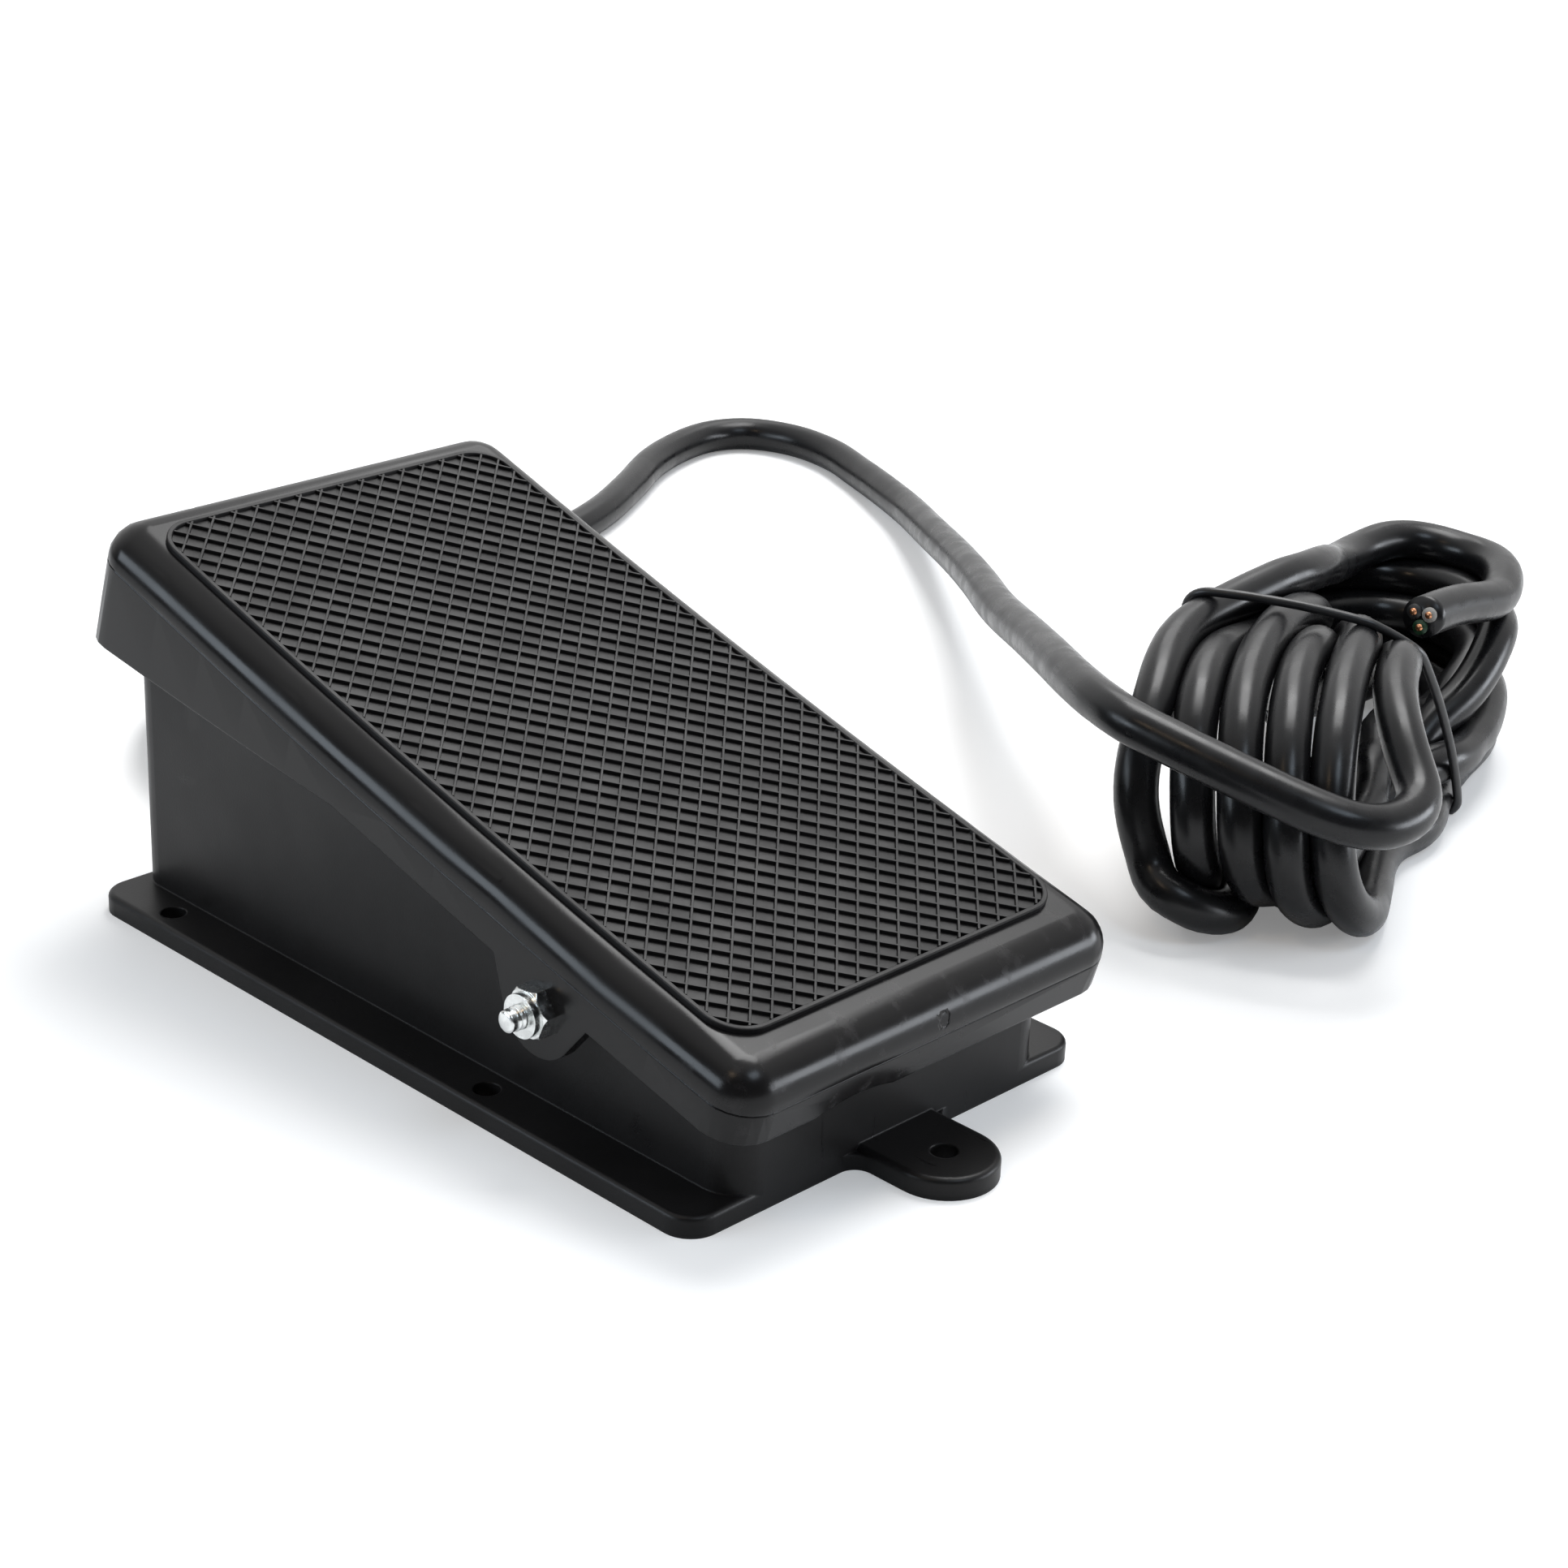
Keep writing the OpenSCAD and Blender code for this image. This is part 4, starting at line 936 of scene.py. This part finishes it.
class FOOT_OT_stage(bpy.types.Operator):
    """Sets the floor, the soft lights and the camera"""
    bl_idname = "foot.stage"
    bl_label = "Stage"

    def execute(self, context):
        scene = context.scene
        look = scene.foot_stage
        forward = np.array([
            np.sin(CAMERA_BEARING) * np.cos(CAMERA_DROP),
            np.cos(CAMERA_BEARING) * np.cos(CAMERA_DROP),
            -np.sin(CAMERA_DROP),
        ])
        lens = bpy.data.cameras.new("camera")
        lens.lens = CAMERA_LENS
        lens.sensor_width = 36.0
        lens.clip_start = 0.01
        lens.clip_end = 50
        camera = bpy.data.objects.new("camera", lens)
        camera.matrix_world = aim(np.array(CAMERA_PLACE), forward, CAMERA_ROLL)
        scene.collection.objects.link(camera)
        scene.camera = camera
        self.floor(look)
        self.world(scene, look)
        for name, place, target, size, radiance, colour in LAMPS:
            power = look.lamps * radiance * np.pi * size[0] * size[1]
            softbox(name, place, target, size, power, colour)
        scene.view_settings.view_transform = "Standard"
        return {"FINISHED"}

    def floor(self, look):
        """Pale floor that keeps the shadows. What the camera sees of it is lifted a little near
        the switch and wholly far from it, where the lamps don't reach."""
        mesh = bpy.data.meshes.new("floor")
        mesh.from_pydata([(-4, -4, 0), (4, -4, 0), (4, 4, 0), (-4, 4, 0)], [], [(0, 1, 2, 3)])
        floor = bpy.data.objects.new("floor", mesh)
        bpy.context.scene.collection.objects.link(floor)
        made = Finish("pale_floor", look.floor, 0.7, specular=0.1)
        made.rough(made.spread(made.noise(8, 2), 0.65, 0.75))
        made.shader.inputs["Emission Color"].default_value = (1, 1, 1, 1)
        far = made.node("ShaderNodeVectorMath")
        far.operation = "LENGTH"
        made.join(made.place, far.inputs[0])
        lift = made.spread(far.outputs["Value"], look.lift, 1.0, 0.5, 1.1)
        seen = made.node("ShaderNodeLightPath").outputs["Is Camera Ray"]
        made.join(made.product(seen, lift), made.shader.inputs["Emission Strength"])
        mesh.materials.append(made.material)

    def world(self, scene, look):
        """White surroundings for what is seen directly; reflections see the white backdrop behind
        and above the switch and a dimmer room on the near side; diffuse light is even."""
        world = bpy.data.worlds.new("surroundings")
        scene.world = world
        world.use_nodes = True
        tree = world.node_tree

        def node(kind, **values):
            made = tree.nodes.new(kind)
            for key, value in values.items():
                setattr(made, key, value)
            return made

        def background(strength):
            made = node("ShaderNodeBackground")
            made.inputs["Color"].default_value = (1, 1, 1, 1)
            made.inputs["Strength"].default_value = strength
            return made

        def mixed(factor, first, second):
            made = node("ShaderNodeMixShader")
            tree.links.new(factor, made.inputs[0])
            tree.links.new(first.outputs[0], made.inputs[1])
            tree.links.new(second.outputs[0], made.inputs[2])
            return made

        toward = node("ShaderNodeVectorMath", operation="DOT_PRODUCT")
        tree.links.new(node("ShaderNodeTexCoord").outputs["Generated"], toward.inputs[0])
        toward.inputs[1].default_value = BACKDROP
        room = node("ShaderNodeMapRange", interpolation_type="SMOOTHSTEP")
        room.inputs["From Min"].default_value = 0.0
        room.inputs["From Max"].default_value = 0.75
        room.inputs["To Min"].default_value = look.room
        room.inputs["To Max"].default_value = 1.0
        tree.links.new(toward.outputs["Value"], room.inputs["Value"])
        shown = background(1.0)
        tree.links.new(room.outputs["Result"], shown.inputs["Strength"])
        path = node("ShaderNodeLightPath")
        either = node("ShaderNodeMath", operation="MAXIMUM")
        tree.links.new(path.outputs["Is Glossy Ray"], either.inputs[0])
        tree.links.new(path.outputs["Is Transmission Ray"], either.inputs[1])
        even = mixed(either.outputs[0], background(look.sky), shown)
        final = mixed(path.outputs["Is Camera Ray"], even, background(1.0))
        tree.links.new(final.outputs[0], tree.nodes["World Output"].inputs["Surface"])


class FOOT_PT_panel(bpy.types.Panel):
    """Lists the foot switch's settings and steps"""
    bl_idname = "FOOT_PT_panel"
    bl_label = "Foot switch"
    bl_space_type = "VIEW_3D"
    bl_region_type = "UI"
    bl_category = "Foot switch"

    def draw(self, context):
        for title, group in SETTINGS.items():
            self.layout.label(text=title.replace("foot_", "").capitalize())
            settings = getattr(context.scene, title)
            for key in group.__annotations__:
                self.layout.prop(settings, key)
        for step in STEPS:
            self.layout.operator(step.bl_idname)


SETTINGS = {
    "foot_cord": CordSettings,
    "foot_tread": TreadSettings,
    "foot_finish": FinishSettings,
    "foot_stage": StageSettings,
}
STEPS = (FOOT_OT_stage, FOOT_OT_cord, FOOT_OT_tread, FOOT_OT_pedal, FOOT_OT_base,
         FOOT_OT_hardware, FOOT_OT_switch)


def register():
    for made in (*SETTINGS.values(), *STEPS, FOOT_PT_panel):
        bpy.utils.register_class(made)
    for name, group in SETTINGS.items():
        setattr(bpy.types.Scene, name, bpy.props.PointerProperty(type=group))


def unregister():
    for name in SETTINGS:
        delattr(bpy.types.Scene, name)
    for made in reversed((*SETTINGS.values(), *STEPS, FOOT_PT_panel)):
        bpy.utils.unregister_class(made)


def main():
    """Makes the looks step by step."""
    register()
    for step in STEPS:
        group, name = step.bl_idname.split(".")
        getattr(getattr(bpy.ops, group), name)()
    bpy.context.view_layer.update()


if __name__ == "__main__":
    main()
